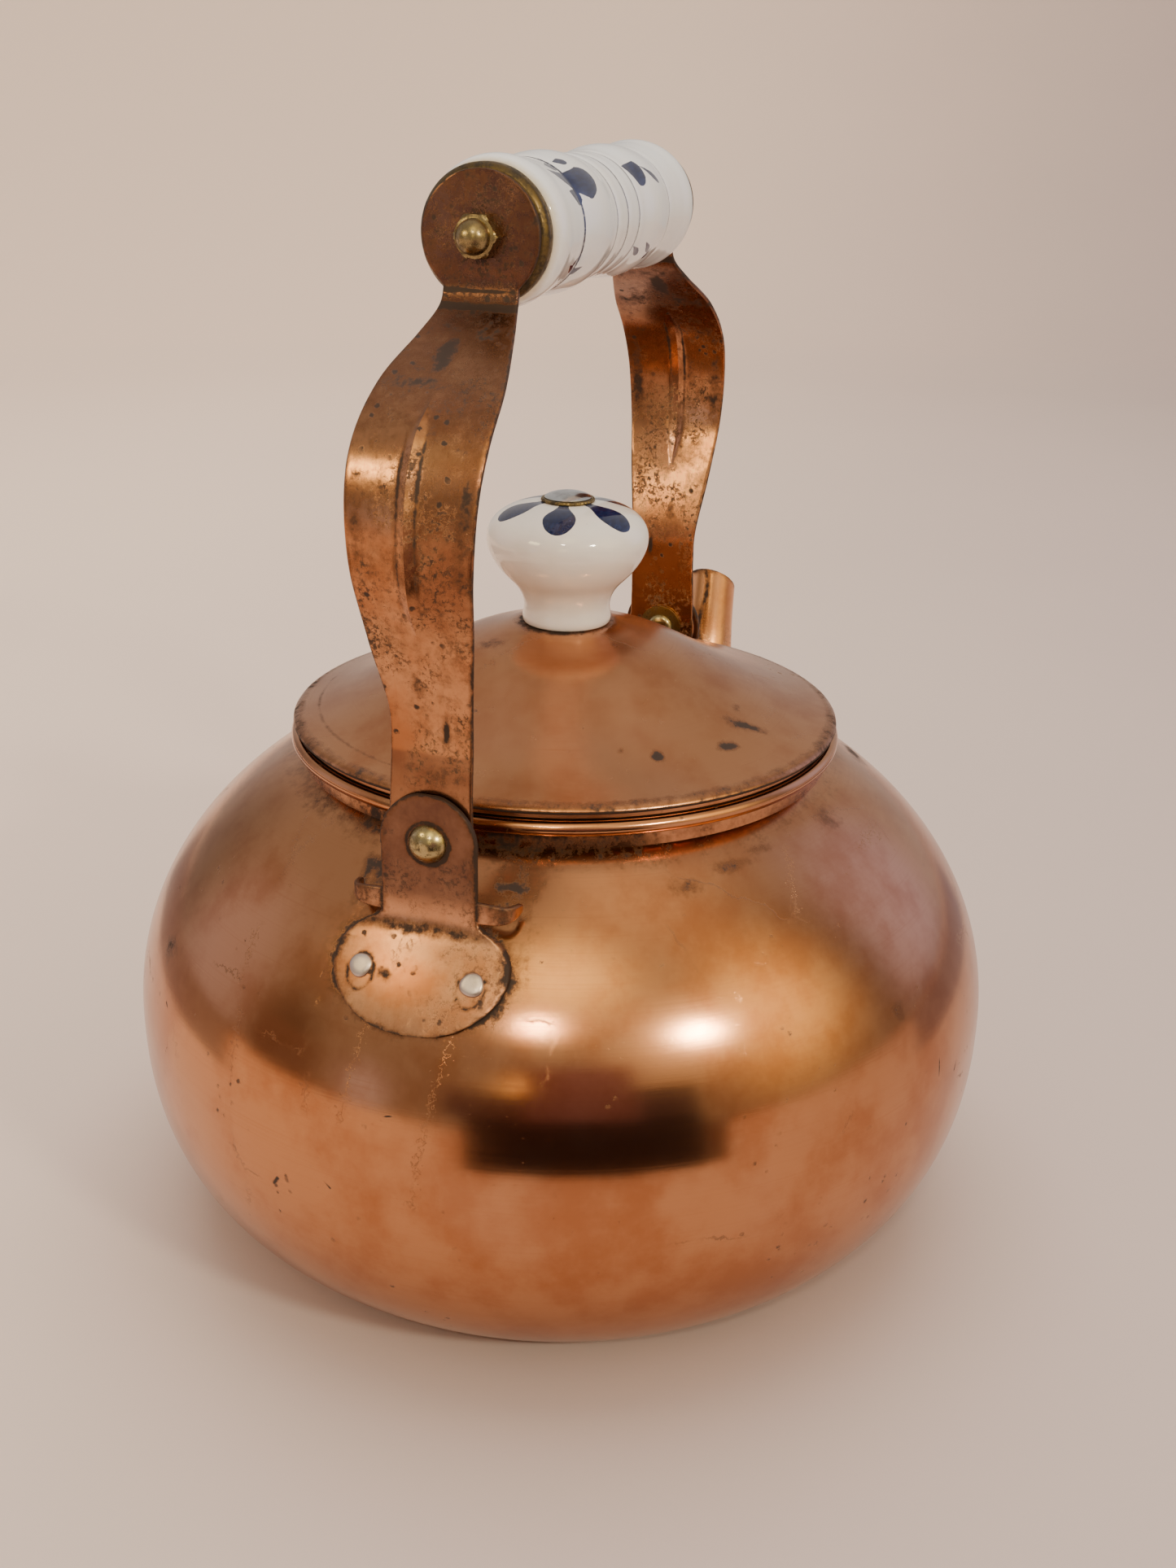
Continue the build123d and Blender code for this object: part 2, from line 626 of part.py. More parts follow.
# ---------------------------------------------------------------------------
# Labels and STEP files
# ---------------------------------------------------------------------------
PARTS = {
    "body_shell": body_shell,
    "spout": spout,
    "rear_bracket": rear_bracket,
    "front_bracket": front_bracket,
    "rear_bracket_rivets": rear_bracket_rivets,
    "front_bracket_rivets": front_bracket_rivets,
    "rear_pivot_rivet": rear_pivot_rivet,
    "front_pivot_rivet": front_pivot_rivet,
    "rear_pivot_washer": rear_pivot_washer,
    "front_pivot_washer": front_pivot_washer,
    "rear_strap": rear_strap,
    "front_strap": front_strap,
    "rear_grip_cap": rear_grip_cap,
    "front_grip_cap": front_grip_cap,
    "grip": grip,
    "tie_rod": tie_rod,
    "rear_acorn_nut": rear_acorn_nut,
    "front_acorn_nut": front_acorn_nut,
    "lid_dome": lid_dome,
    "lid_collar": lid_collar,
    "knob": knob,
    "knob_bezel": knob_bezel,
    "knob_screw": knob_screw,
    "knob_washer": knob_washer,
    "knob_nut": knob_nut,
}
for name, piece in PARTS.items():
    piece.part.label = name
    export_step(piece.part, f"parts/{name}.step")
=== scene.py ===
import math

import bpy
import numpy as np
from mathutils import Matrix, Vector


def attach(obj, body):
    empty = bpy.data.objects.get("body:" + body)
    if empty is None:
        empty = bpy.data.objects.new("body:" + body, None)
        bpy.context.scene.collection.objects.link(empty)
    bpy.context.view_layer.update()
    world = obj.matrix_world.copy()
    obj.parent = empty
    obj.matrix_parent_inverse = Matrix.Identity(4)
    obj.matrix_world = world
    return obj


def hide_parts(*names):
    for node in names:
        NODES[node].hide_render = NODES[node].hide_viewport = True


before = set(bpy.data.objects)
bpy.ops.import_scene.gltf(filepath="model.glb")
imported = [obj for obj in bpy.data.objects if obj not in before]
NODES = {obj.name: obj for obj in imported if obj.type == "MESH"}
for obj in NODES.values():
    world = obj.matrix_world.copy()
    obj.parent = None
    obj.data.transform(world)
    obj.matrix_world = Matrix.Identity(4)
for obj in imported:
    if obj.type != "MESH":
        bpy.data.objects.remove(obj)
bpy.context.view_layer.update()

MM = 0.001
TAU = 2 * math.pi

# ---------------------------------------------------------------------------
# Curves and mesh builders (millimetres in, metres out)
# ---------------------------------------------------------------------------


def spline(pts, n, t0=None, t1=None):
    """Cubic spline through pts by chord length, sampled at n points."""
    p = np.array(pts, float)
    h = np.linalg.norm(np.diff(p, axis=0), axis=1)
    s = np.concatenate([[0], np.cumsum(h)])
    m = len(p)
    a, b = np.zeros((m, m)), np.zeros_like(p)
    for i in range(1, m - 1):
        a[i, i - 1], a[i, i], a[i, i + 1] = h[i - 1], 2 * (h[i - 1] + h[i]), h[i]
        b[i] = 6 * ((p[i + 1] - p[i]) / h[i] - (p[i] - p[i - 1]) / h[i - 1])
    if t0 is None:
        a[0, 0] = 1
    else:
        t = np.array(t0, float) / np.linalg.norm(t0)
        a[0, 0], a[0, 1] = 2 * h[0], h[0]
        b[0] = 6 * ((p[1] - p[0]) / h[0] - t)
    if t1 is None:
        a[-1, -1] = 1
    else:
        t = np.array(t1, float) / np.linalg.norm(t1)
        a[-1, -1], a[-1, -2] = 2 * h[-1], h[-1]
        b[-1] = 6 * (t - (p[-1] - p[-2]) / h[-1])
    k = np.linalg.solve(a, b)
    u = np.linspace(0, s[-1], n)
    i = np.clip(np.searchsorted(s, u, side="right") - 1, 0, m - 2)
    hi, x = h[i][:, None], (u - s[i])[:, None]
    y = hi - x
    return (
        k[i] * y**3 / (6 * hi) + k[i + 1] * x**3 / (6 * hi)
        + (p[i] / hi - k[i] * hi / 6) * y + (p[i + 1] / hi - k[i + 1] * hi / 6) * x
    )


def catmull(pts, n):
    """Local spline through pts, sampled evenly by length at n points."""
    p = np.array(pts, float)
    p = np.vstack([2 * p[0] - p[1], p, 2 * p[-1] - p[-2]])
    out = []
    for i in range(1, len(p) - 2):
        for t in np.linspace(0, 1, 60, endpoint=False):
            a, b, c, d = p[i - 1 : i + 3]
            out.append(0.5 * (2 * b + (c - a) * t + (2 * a - 5 * b + 4 * c - d) * t**2 + (3 * b - a - 3 * c + d) * t**3))
    out.append(p[-2])
    q = np.array(out)
    s = np.concatenate([[0], np.cumsum(np.linalg.norm(np.diff(q[:, :2], axis=0), axis=1))])
    u = np.linspace(0, s[-1], n)
    return np.stack([np.interp(u, s, q[:, j]) for j in range(q.shape[1])], 1)


def arc(c, r, a0, a1, n):
    a = np.radians(np.linspace(a0, a1, n))
    return [(c[0] + r * math.cos(x), c[1] + r * math.sin(x)) for x in a]


def smoothstep(a, b, x):
    t = np.clip((np.asarray(x, float) - a) / (b - a), 0, 1)
    return t * t * (3 - 2 * t)


def link(name, verts, faces, body, mats, nodes=(), angle=38, attrs=None, face_mat=None):
    me = bpy.data.meshes.new(name)
    me.from_pydata((np.asarray(verts, float) * MM).tolist(), [], faces)
    me.update()
    for m in mats:
        me.materials.append(m)
    if face_mat is not None:
        me.polygons.foreach_set("material_index", np.asarray(face_mat, np.int32))
    me.shade_smooth()
    me.set_sharp_from_angle(angle=math.radians(angle))
    for key, values in (attrs or {}).items():
        a = me.attributes.new(key, "FLOAT", "POINT")
        a.data.foreach_set("value", np.asarray(values, np.float32))
    o = bpy.data.objects.new(name, me)
    bpy.context.scene.collection.objects.link(o)
    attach(o, body)
    if nodes:
        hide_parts(*nodes)
    return o


def revolve(prof, seg, axis="Z", centre=0.0, closed=False, shape=None, phase=0.0):
    """Verts and faces of a turned form. prof holds (radius, position along the axis)."""
    prof = [tuple(p) for p in prof]
    verts, rings = [], []
    th = np.arange(seg) / seg * TAU + phase
    for r, a in prof:
        if r < 1e-6:
            rings.append([len(verts)])
            verts.append((0, 0, a) if axis == "Z" else (a, 0, centre))
            continue
        rr = np.full(seg, r) if shape is None else shape(r, a, th)
        first = len(verts)
        if axis == "Z":
            verts += list(zip(rr * np.cos(th), rr * np.sin(th), np.full(seg, a)))
        else:
            verts += list(zip(np.full(seg, a), rr * np.sin(th), centre + rr * np.cos(th)))
        rings.append(list(range(first, first + seg)))
    faces = []
    pairs = list(zip(rings, rings[1:])) + ([(rings[-1], rings[0])] if closed else [])
    flip = axis != "Z"
    for a, b in pairs:
        for i in range(seg):
            j = (i + 1) % seg
            if len(a) == 1 and len(b) == 1:
                continue
            if len(a) == 1:
                f = [a[0], b[j], b[i]]
            elif len(b) == 1:
                f = [a[i], a[j], b[0]]
            else:
                f = [a[i], a[j], b[j], b[i]]
            faces.append(f[::-1] if flip else f)
    return np.array(verts, float), faces


def plate(rows, n_front=25, r_edge=0.35, lift=None):
    """A strip of sheet. rows: dicts with c (centre point), w (half width), t (thickness),
    across (unit vector), normal (unit vector). lift(row, y) moves both faces along the normal."""
    verts, ring = [], 0
    for k, row in enumerate(rows):
        w, t = max(row["w"], 0.02), row["t"]
        re = min(r_edge, t / 2 * 0.98, w * 0.6)
        ys = np.linspace(-1, 1, n_front) * (w - re)
        loop = [(y, t / 2) for y in ys]
        loop += [(w - re + re * math.sin(a), t / 2 - re + re * math.cos(a)) for a in (0.5, 1.05, 1.57)]
        loop += [(w - re + re * math.sin(a), -t / 2 + re - re * math.cos(a)) for a in (1.57, 1.05, 0.5)]
        loop += [(y, -t / 2) for y in ys[::-1]]
        loop += [(-w + re - re * math.sin(a), -t / 2 + re - re * math.cos(a)) for a in (0.5, 1.05, 1.57)]
        loop += [(-w + re - re * math.sin(a), t / 2 - re + re * math.cos(a)) for a in (1.57, 1.05, 0.5)]
        ring = len(loop)
        for y, n in loop:
            d = lift(row, y) if lift else 0.0
            verts.append(row["c"] + row["across"] * y + row["normal"] * (n + d))
    faces = []
    for k in range(len(rows) - 1):
        for i in range(ring):
            j = (i + 1) % ring
            faces.append([k * ring + i, k * ring + j, (k + 1) * ring + j, (k + 1) * ring + i])
    faces.append(list(range(ring))[::-1])
    faces.append([(len(rows) - 1) * ring + i for i in range(ring)])
    return np.array(verts, float), faces


# ---------------------------------------------------------------------------
# Shader helpers
# ---------------------------------------------------------------------------


class Mat:
    """A small wrapper that builds a Principled material node by node."""

    def __init__(self, name):
        self.m = bpy.data.materials.new(name)
        self.m.use_nodes = True
        self.t = self.m.node_tree
        self.t.nodes.clear()
        self.out = self.t.nodes.new("ShaderNodeOutputMaterial")
        self.p = self.t.nodes.new("ShaderNodeBsdfPrincipled")
        self.t.links.new(self.p.outputs[0], self.out.inputs[0])
        self.coord = self.t.nodes.new("ShaderNodeTexCoord").outputs["Object"]
        self.mm = self.vmath("SCALE", self.coord, scale=1000.0)

    def put(self, sock, v):
        if isinstance(v, bpy.types.NodeSocket):
            self.t.links.new(v, sock)
        elif v is not None:
            sock.default_value = v

    def math(self, op, a, b=None, c=None, clamp=False):
        n = self.t.nodes.new("ShaderNodeMath")
        n.operation, n.use_clamp = op, clamp
        for s, v in zip(n.inputs, (a, b, c)):
            self.put(s, v)
        return n.outputs[0]

    def vmath(self, op, a, b=None, scale=None):
        n = self.t.nodes.new("ShaderNodeVectorMath")
        n.operation = op
        self.put(n.inputs[0], a)
        if b is not None:
            self.put(n.inputs[1], b)
        if scale is not None:
            self.put(n.inputs["Scale"], scale)
        return n.outputs["Value"] if op in ("LENGTH", "DOT_PRODUCT", "DISTANCE") else n.outputs["Vector"]

    def xyz(self, v):
        n = self.t.nodes.new("ShaderNodeSeparateXYZ")
        self.put(n.inputs[0], v)
        return n.outputs

    def vec(self, x, y, z):
        n = self.t.nodes.new("ShaderNodeCombineXYZ")
        for s, v in zip(n.inputs, (x, y, z)):
            self.put(s, v)
        return n.outputs[0]

    def noise(self, v, scale, detail=3.0, rough=0.55, distort=0.0):
        n = self.t.nodes.new("ShaderNodeTexNoise")
        self.put(n.inputs["Vector"], v)
        n.inputs["Scale"].default_value = scale
        n.inputs["Detail"].default_value = detail
        n.inputs["Roughness"].default_value = rough
        n.inputs["Distortion"].default_value = distort
        return n.outputs["Fac"]

    def voronoi(self, v, scale, feature="F1", rand=1.0):
        n = self.t.nodes.new("ShaderNodeTexVoronoi")
        n.feature = feature
        self.put(n.inputs["Vector"], v)
        n.inputs["Scale"].default_value = scale
        n.inputs["Randomness"].default_value = rand
        return n

    def ramp(self, x, a, b, lo=0.0, hi=1.0, smooth=True):
        n = self.t.nodes.new("ShaderNodeMapRange")
        n.interpolation_type = "SMOOTHSTEP" if smooth else "LINEAR"
        n.clamp = True
        for s, v in zip(n.inputs, (x, a, b, lo, hi)):
            self.put(s, v)
        return n.outputs[0]

    def mix(self, f, a, b):
        n = self.t.nodes.new("ShaderNodeMix")
        n.data_type = "RGBA"
        self.put(n.inputs["Factor"], f)
        for s, v in ((n.inputs["A"], a), (n.inputs["B"], b)):
            pass
        rgba = [s for s in n.inputs if s.type == "RGBA"]
        for s, v in zip(rgba, (a, b)):
            self.put(s, (*v, 1.0) if isinstance(v, tuple) and len(v) == 3 else v)
        return [s for s in n.outputs if s.type == "RGBA"][0]

    def attr(self, name):
        n = self.t.nodes.new("ShaderNodeAttribute")
        n.attribute_name = name
        return n.outputs["Fac"]

    def bump(self, height, strength, distance_mm, normal=None):
        n = self.t.nodes.new("ShaderNodeBump")
        n.inputs["Strength"].default_value = strength
        n.inputs["Distance"].default_value = distance_mm * MM
        self.put(n.inputs["Height"], height)
        if normal is not None:
            self.put(n.inputs["Normal"], normal)
        return n.outputs[0]

    def segment(self, a, b, width):
        """Mask of a thin stroke between two points in millimetres."""
        a, b = np.array(a, float), np.array(b, float)
        ab = b - a
        pa = self.vmath("SUBTRACT", self.mm, tuple(a))
        h = self.math("DIVIDE", self.vmath("DOT_PRODUCT", pa, tuple(ab)), float(ab @ ab), clamp=True)
        near = self.vmath("SCALE", self.vec(*[float(x) for x in ab]), scale=h)
        d = self.vmath("LENGTH", self.vmath("SUBTRACT", pa, near))
        return self.ramp(d, width, width * 2.2, 1.0, 0.0)

    def done(self, **sockets):
        for key, v in sockets.items():
            s = self.p.inputs[key.replace("_", " ")]
            if isinstance(v, tuple) and len(v) == 3 and s.type == "RGBA":
                v = (*v, 1.0)
            self.put(s, v)
        return self.m


COPPER = (0.52, 0.240, 0.112)
COPPER_DEEP = (0.41, 0.155, 0.062)
COPPER_PINK = (0.51, 0.255, 0.150)
TARNISH = (0.036, 0.018, 0.011)
BROWN = (0.15, 0.062, 0.030)
# dark brown that the painted shade mixes in
SHADE_BROWN = (0.085, 0.042, 0.034)


def copper(name, rough=0.2, speck=1.0, tarnish=1.0, grain="turned", tarnish_and_shade=None, strokes=(),
           base=COPPER, deep=COPPER_DEEP, coat=0.03, wave=0.25, aniso=0.35, blotch=0.62, shade=None, dusty=0.0):
    """Worn, lacquered copper: spun or drawn grain, brown patina, black specks, scratches, and painted shade from the
    shade attribute and from parts of the patch mask.
    """
    m = Mat(name)
    x, y, z = m.xyz(m.mm)
    if grain == "turned":
        r = m.math("SQRT", m.math("ADD", m.math("MULTIPLY", x, x), m.math("MULTIPLY", y, y)))
        lines_at = m.vec(m.math("MULTIPLY", r, 3.0), m.math("MULTIPLY", z, 3.0), m.math("MULTIPLY", m.math("ARCTAN2", y, x), 1.2))
    elif grain == "strip":
        lines_at = m.vec(m.math("MULTIPLY", y, 3.4), m.math("MULTIPLY", z, 0.08), m.math("MULTIPLY", x, 0.5))
    else:
        lines_at = m.vec(m.math("MULTIPLY", y, 2.0), m.math("MULTIPLY", z, 2.0), m.math("MULTIPLY", x, 2.0))
    lines = m.noise(lines_at, 1.0, 5.0, 0.7)
    broad = m.noise(m.mm, 0.018, 3.0, 0.5)
    cloud = m.noise(m.mm, 0.055, 6.0, 0.62)
    fine = m.noise(m.mm, 0.9, 5.0, 0.7)
    # patina
    col = m.mix(m.ramp(cloud, 0.40, 0.68), base, deep)
    col = m.mix(m.math("MULTIPLY", m.ramp(broad, 0.5, 0.75), 0.45), col, COPPER_PINK)
    col = m.mix(m.math("MULTIPLY", m.ramp(lines, 0.52, 0.72), 0.35), col, deep)
    # dark tarnish, and painted shade where the mask carries it: patches grown from the tarnish-and-shade mask, plus
    # scattered specks
    ragged = m.math("ADD", m.math("MULTIPLY", m.noise(m.mm, 0.55, 6.0, 0.72), 0.75), m.math("MULTIPLY", m.noise(m.mm, 0.12, 4.0, 0.6), 0.55))
    if tarnish_and_shade:
        grown = m.math("ADD", m.math("MULTIPLY", m.attr(tarnish_and_shade), 1.0), ragged)
        patch = m.ramp(grown, 1.02, 1.2)
        halo = m.ramp(grown, 0.80, 1.15)
    else:
        patch = m.ramp(ragged, 0.86, 0.98)
        halo = m.ramp(ragged, 0.74, 0.95)
    patch = m.math("MULTIPLY", patch, tarnish, clamp=True)
    halo = m.math("MULTIPLY", halo, 0.75 * tarnish, clamp=True)
    v = m.voronoi(m.vmath("ADD", m.mm, m.vmath("SCALE", m.vec(fine, fine, fine), scale=1.1)), 0.36)
    keep = m.ramp(m.noise(m.mm, 0.07, 4.0, 0.7), blotch - 0.04, blotch + 0.06)
    small = m.math("MULTIPLY", m.ramp(v.outputs["Distance"], 0.13, 0.24, 1.0, 0.0), keep)
    v2 = m.voronoi(m.vmath("ADD", m.mm, m.vmath("SCALE", m.vec(fine, cloud, fine), scale=3.0)), 0.12)
    lone = m.math("MULTIPLY", m.ramp(v2.outputs["Distance"], 0.02, 0.055, 1.0, 0.0), m.ramp(fine, 0.42, 0.56))
    dust = m.math("MULTIPLY", m.ramp(m.noise(m.mm, 1.7, 4.0, 0.75), 0.66, 0.72), m.ramp(m.noise(m.mm, 0.05, 3.0, 0.6), 0.48, 0.66))
    specks = m.math("MAXIMUM", m.math("MAXIMUM", small, lone), m.math("MULTIPLY", dust, 0.8))
    if dusty:
        crust = m.math("MULTIPLY", m.ramp(m.noise(m.mm, 0.95, 7.0, 0.82), 0.515, 0.56), m.ramp(m.noise(m.mm, 0.075, 4.0, 0.65), 0.46, 0.60))
        specks = m.math("MAXIMUM", specks, m.math("MULTIPLY", crust, dusty))
    specks = m.math("MULTIPLY", specks, 0.9 * speck, clamp=True)
    dark = m.math("MAXIMUM", patch, specks)
    # hair scratches: broken cell edges, some dark, all in the relief
    edge = m.voronoi(m.vmath("MULTIPLY", m.vmath("ADD", m.mm, m.vmath("SCALE", m.vec(cloud, fine, cloud), scale=9.0)), (0.03, 0.05, 0.02)), 1.0, "DISTANCE_TO_EDGE")
    hair = m.math("MULTIPLY", m.ramp(edge.outputs["Distance"], 0.0015, 0.006, 1.0, 0.0), m.ramp(m.noise(m.mm, 0.04, 3.0, 0.6), 0.52, 0.62))
    dark = m.math("MAXIMUM", dark, m.math("MULTIPLY", hair, 0.55))
    for a, b, w in strokes:
        dark = m.math("MAXIMUM", dark, m.math("MULTIPLY", m.segment(a, b, w * 1.35), m.ramp(fine, 0.30, 0.46, 0.45, 1.0)))
    # painted shade: the shade attribute, broken up by the cloud noise, darkens the colour towards a dark brown
    if shade:
        worn = m.math("ADD", m.attr(shade), m.math("MULTIPLY", m.math("SUBTRACT", cloud, 0.5), m.math("MULTIPLY", m.attr(shade), 1.1)), clamp=True)
        col = m.mix(worn, col, SHADE_BROWN)
    col = m.mix(halo, col, BROWN)
    col = m.mix(dark, col, TARNISH)
    rgh = m.math("ADD", m.math("ADD", m.math("MULTIPLY", lines, 0.10), rough - 0.05), m.math("MULTIPLY", cloud, 0.07))
    rgh = m.math("ADD", rgh, m.math("MULTIPLY", dark, 0.32), clamp=True)
    rgh = m.math("ADD", rgh, m.math("MULTIPLY", halo, 0.12), clamp=True)
    metal = m.math("SUBTRACT", 1.0, m.math("MULTIPLY", dark, 0.55), clamp=True)
    nrm = m.bump(m.noise(m.mm, 0.03, 2.0, 0.5), 1.0, wave)
    nrm = m.bump(lines, 0.35, 0.012, nrm)
    nrm = m.bump(m.math("SUBTRACT", m.math("MULTIPLY", fine, 0.25), dark), 0.5, 0.03, nrm)
    tan = m.t.nodes.new("ShaderNodeTangent")
    tan.direction_type, tan.axis = "RADIAL", "Z"
    return m.done(Base_Color=col, Metallic=metal, Roughness=rgh, Normal=nrm, Anisotropic=aniso,
                  Tangent=tan.outputs[0], Coat_Weight=coat, Coat_Roughness=0.22, Coat_IOR=1.45)


def brass(name, base=(0.50, 0.36, 0.14), dark=(0.10, 0.065, 0.025), rough=0.26, amount=0.5, axis="x"):
    m = Mat(name)
    x, y, z = m.xyz(m.mm)
    cloud = m.noise(m.mm, 0.35, 6.0, 0.65)
    fine = m.noise(m.mm, 2.2, 5.0, 0.7)
    pits = m.ramp(m.voronoi(m.mm, 1.1).outputs["Distance"], 0.12, 0.25, 1.0, 0.0)
    worn = m.ramp(m.math("ADD", m.math("MULTIPLY", cloud, 0.7), m.math("MULTIPLY", fine, 0.3)), 0.62 - 0.3 * amount, 0.72 - 0.2 * amount)
    worn = m.math("MAXIMUM", worn, m.math("MULTIPLY", pits, 0.6))
    col = m.mix(worn, base, dark)
    rgh = m.math("ADD", m.math("ADD", rough - 0.06, m.math("MULTIPLY", fine, 0.14)), m.math("MULTIPLY", worn, 0.18))
    nrm = m.bump(m.math("SUBTRACT", fine, pits), 0.25, 0.012)
    return m.done(Base_Color=col, Metallic=m.math("SUBTRACT", 1.0, m.math("MULTIPLY", worn, 0.35)), Roughness=rgh, Normal=nrm)


def plain_metal(name, base, dark, rough, scale=1.0):
    m = Mat(name)
    fine = m.noise(m.mm, 1.6 * scale, 5.0, 0.7)
    cloud = m.noise(m.mm, 0.3 * scale, 4.0, 0.6)
    worn = m.ramp(cloud, 0.45, 0.75)
    col = m.mix(worn, base, dark)
    return m.done(Base_Color=col, Metallic=1.0, Roughness=m.math("ADD", rough - 0.05, m.math("MULTIPLY", fine, 0.14)),
                  Normal=m.bump(fine, 0.35, 0.04))


BLUE = (0.004, 0.008, 0.040)
BLUE_THIN = (0.07, 0.085, 0.14)


def porcelain(name, attr, rings=(), warm_ends=None, white_a=(0.80, 0.82, 0.83), white_b=(0.83, 0.82, 0.79)):
    """White glaze with brushed blue marks. attr is how far inside a mark a point lies, in mm."""
    m = Mat(name)
    x, y, z = m.xyz(m.mm)
    wob = m.noise(m.mm, 1.4, 4.0, 0.6)
    brush = m.noise(m.vmath("MULTIPLY", m.mm, (0.5, 1.6, 1.6)), 1.0, 4.0, 0.6)
    inside = m.math("ADD", m.attr(attr), m.math("MULTIPLY", m.math("SUBTRACT", wob, 0.5), 0.28))
    mark = m.ramp(inside, -0.10, 0.04)
    thin = m.math("MULTIPLY", m.attr(attr + "_thin"), m.ramp(brush, 0.25, 0.7, 0.6, 1.0))
    blue = m.mix(thin, m.mix(m.ramp(brush, 0.35, 0.75), BLUE, (0.012, 0.024, 0.085)), BLUE_THIN)
    white = m.mix(m.ramp(m.noise(m.mm, 0.09, 3.0, 0.5), 0.35, 0.7), white_a, white_b)
    spots = m.ramp(m.voronoi(m.mm, 0.33).outputs["Distance"], 0.02, 0.055, 1.0, 0.0)
    white = m.mix(m.math("MULTIPLY", spots, 0.45), white, (0.30, 0.25, 0.18))
    if warm_ends:
        edge = m.ramp(m.math("ADD", m.math("ABSOLUTE", x), m.math("MULTIPLY", wob, 0.8)), warm_ends[0], warm_ends[1])
        white = m.mix(m.math("MULTIPLY", edge, 0.7), white, (0.55, 0.43, 0.20))
    for x0, w, strong in rings:
        d = m.math("ABSOLUTE", m.math("SUBTRACT", x, m.math("ADD", x0 - 0.08, m.math("MULTIPLY", wob, 0.16))))
        line = m.math("MULTIPLY", m.ramp(d, w * 0.5, w * 0.5 + 0.14, 1.0, 0.0), m.ramp(brush, 0.2, 0.55, strong * 0.65, strong))
        white = m.mix(line, white, (0.012, 0.018, 0.045))
    col = m.mix(mark, white, blue)
    nrm = m.bump(m.noise(m.mm, 0.16, 3.0, 0.5), 0.6, 0.05)
    return m.done(Base_Color=col, Roughness=m.math("ADD", 0.07, m.math("MULTIPLY", wob, 0.05)), Normal=nrm,
                  IOR=1.5, Coat_Weight=0.35, Coat_Roughness=0.03, Subsurface_Weight=0.02,
                  Subsurface_Radius=(1.0, 0.9, 0.8), Subsurface_Scale=0.0012)


# ---------------------------------------------------------------------------
# Body: spun shell with its rolled bead
# ---------------------------------------------------------------------------
Z_BELLY, R_BELLY = 48.0, 90.0


def belly(z):
    z = np.asarray(z, float)
    u = np.where(z >= Z_BELLY, (z - Z_BELLY) / 65.77, (Z_BELLY - z) / 61.40)
    p = np.where(z >= Z_BELLY, 2.046, 2.444)
    return R_BELLY * np.maximum(1 - np.abs(u) ** p, 0) ** (1 / p)


def belly_n(z):
    dr = (belly(z + 0.01) - belly(z - 0.01)) / 0.02
    n = np.hypot(1.0, dr)
    return 1 / n, -dr / n


zs = np.concatenate([[3.2, 5.0, 7.5], np.linspace(11, 96, 34), [97.4, 98.5]])
outer = spline([(57.0, 0.0), (64.6, 0.95)] + [(float(belly(z)), z) for z in zs] + [(54.35, 101.0)], 190, (1, 0), (-1.15, 0.75))
inner_pts = [(57.0, 0.9), (64.25, 1.8)]
for z in zs:
    nr, nz = belly_n(z)
    inner_pts.append((float(belly(z) - 0.9 * nr), float(z - 0.9 * nz)))
inner = spline(inner_pts + [(53.45, 101.25)], 110, (1, 0), (-1.15, 0.75))
prof = [(0.0, 0.0), (20, 0.0), (40, 0.0), (52, 0.0)] + [tuple(p) for p in outer]
prof += [(54.32, 101.6), (54.32, 102.4), (54.35, 103.5), (54.38, 103.9)]
prof += arc((54.95, 105.3), 1.5, -112, 180, 26)
prof += [(53.45, 104.6), (53.45, 103.0)]
prof += [tuple(p) for p in inner[::-1]] + [(50, 0.9), (30, 0.9), (0.0, 0.9)]
v, f = revolve(prof, 512)
r = np.hypot(v[:, 0], v[:, 1])


def pad_width(z):
    """Half width of a bracket's outline at height z."""
    e = np.array([(0.0, 76.2), (3.6, 76.3), (6.5, 76.7), (9.5, 77.6), (12.0, 78.9), (14.2, 80.5), (15.8, 82.3), (16.55, 84.2),
                  (16.6, 85.4), (16.25, 87.0), (15.2, 88.6), (13.8, 89.9), (12.2, 90.9), (10.0, 92.0), (9.3, 92.8), (9.05, 94.0)])
    w = np.interp(z, e[:, 1], e[:, 0])
    w = np.where(z > 94.0, 9.05, w)
    return np.where(z > 106.0, np.sqrt(np.maximum(9.15**2 - np.maximum(z - 107.1, 0) ** 2, 0)), w)


def bracket_gap(y, z):
    """Rough distance outside a bracket's outline, negative inside."""
    yy, zz = np.abs(y), z
    pad = np.hypot(yy / 16.6, (zz - 84.4) / 8.3) - 1.0
    pad = pad * 10.5
    ear = np.maximum(yy - 9.05, 90 - zz)
    lug = np.maximum(np.abs(yy - 12.0) - 4.2, np.abs(zz - 94.6) - 1.8)
    return np.minimum(np.minimum(pad, ear), lug)


near = np.where(np.abs(v[:, 0]) > 40, bracket_gap(v[:, 1], v[:, 2]), 99)
rear_side = v[:, 0] < 0
ang = np.degrees(np.arctan2(v[:, 1], v[:, 0]))
tarnish_and_shade = np.zeros(len(v))
ring_band = np.exp(-np.abs(near) / 1.6) * 0.58
tarnish_and_shade = np.maximum(tarnish_and_shade, np.where(v[:, 2] > 70, ring_band, 0) * (1 + 0.2 * np.sin(v[:, 1] * 0.9)))
# beside the ear and the lugs the darkening is widest: tarnish, with painted shadow of the lugs on the body
side_patch = np.exp(-((np.abs(v[:, 1]) - 12.5) / 4.0) ** 2 - ((v[:, 2] - 95.5) / 6.0) ** 2) * (np.abs(v[:, 0]) > 40)
tarnish_and_shade = np.maximum(tarnish_and_shade, side_patch * 0.5)
low_patch = np.exp(-((v[:, 1] + 15.5) / 3.5) ** 2 - ((v[:, 2] - 82.5) / 5.0) ** 2) * rear_side
tarnish_and_shade = np.maximum(tarnish_and_shade, low_patch * 0.55)
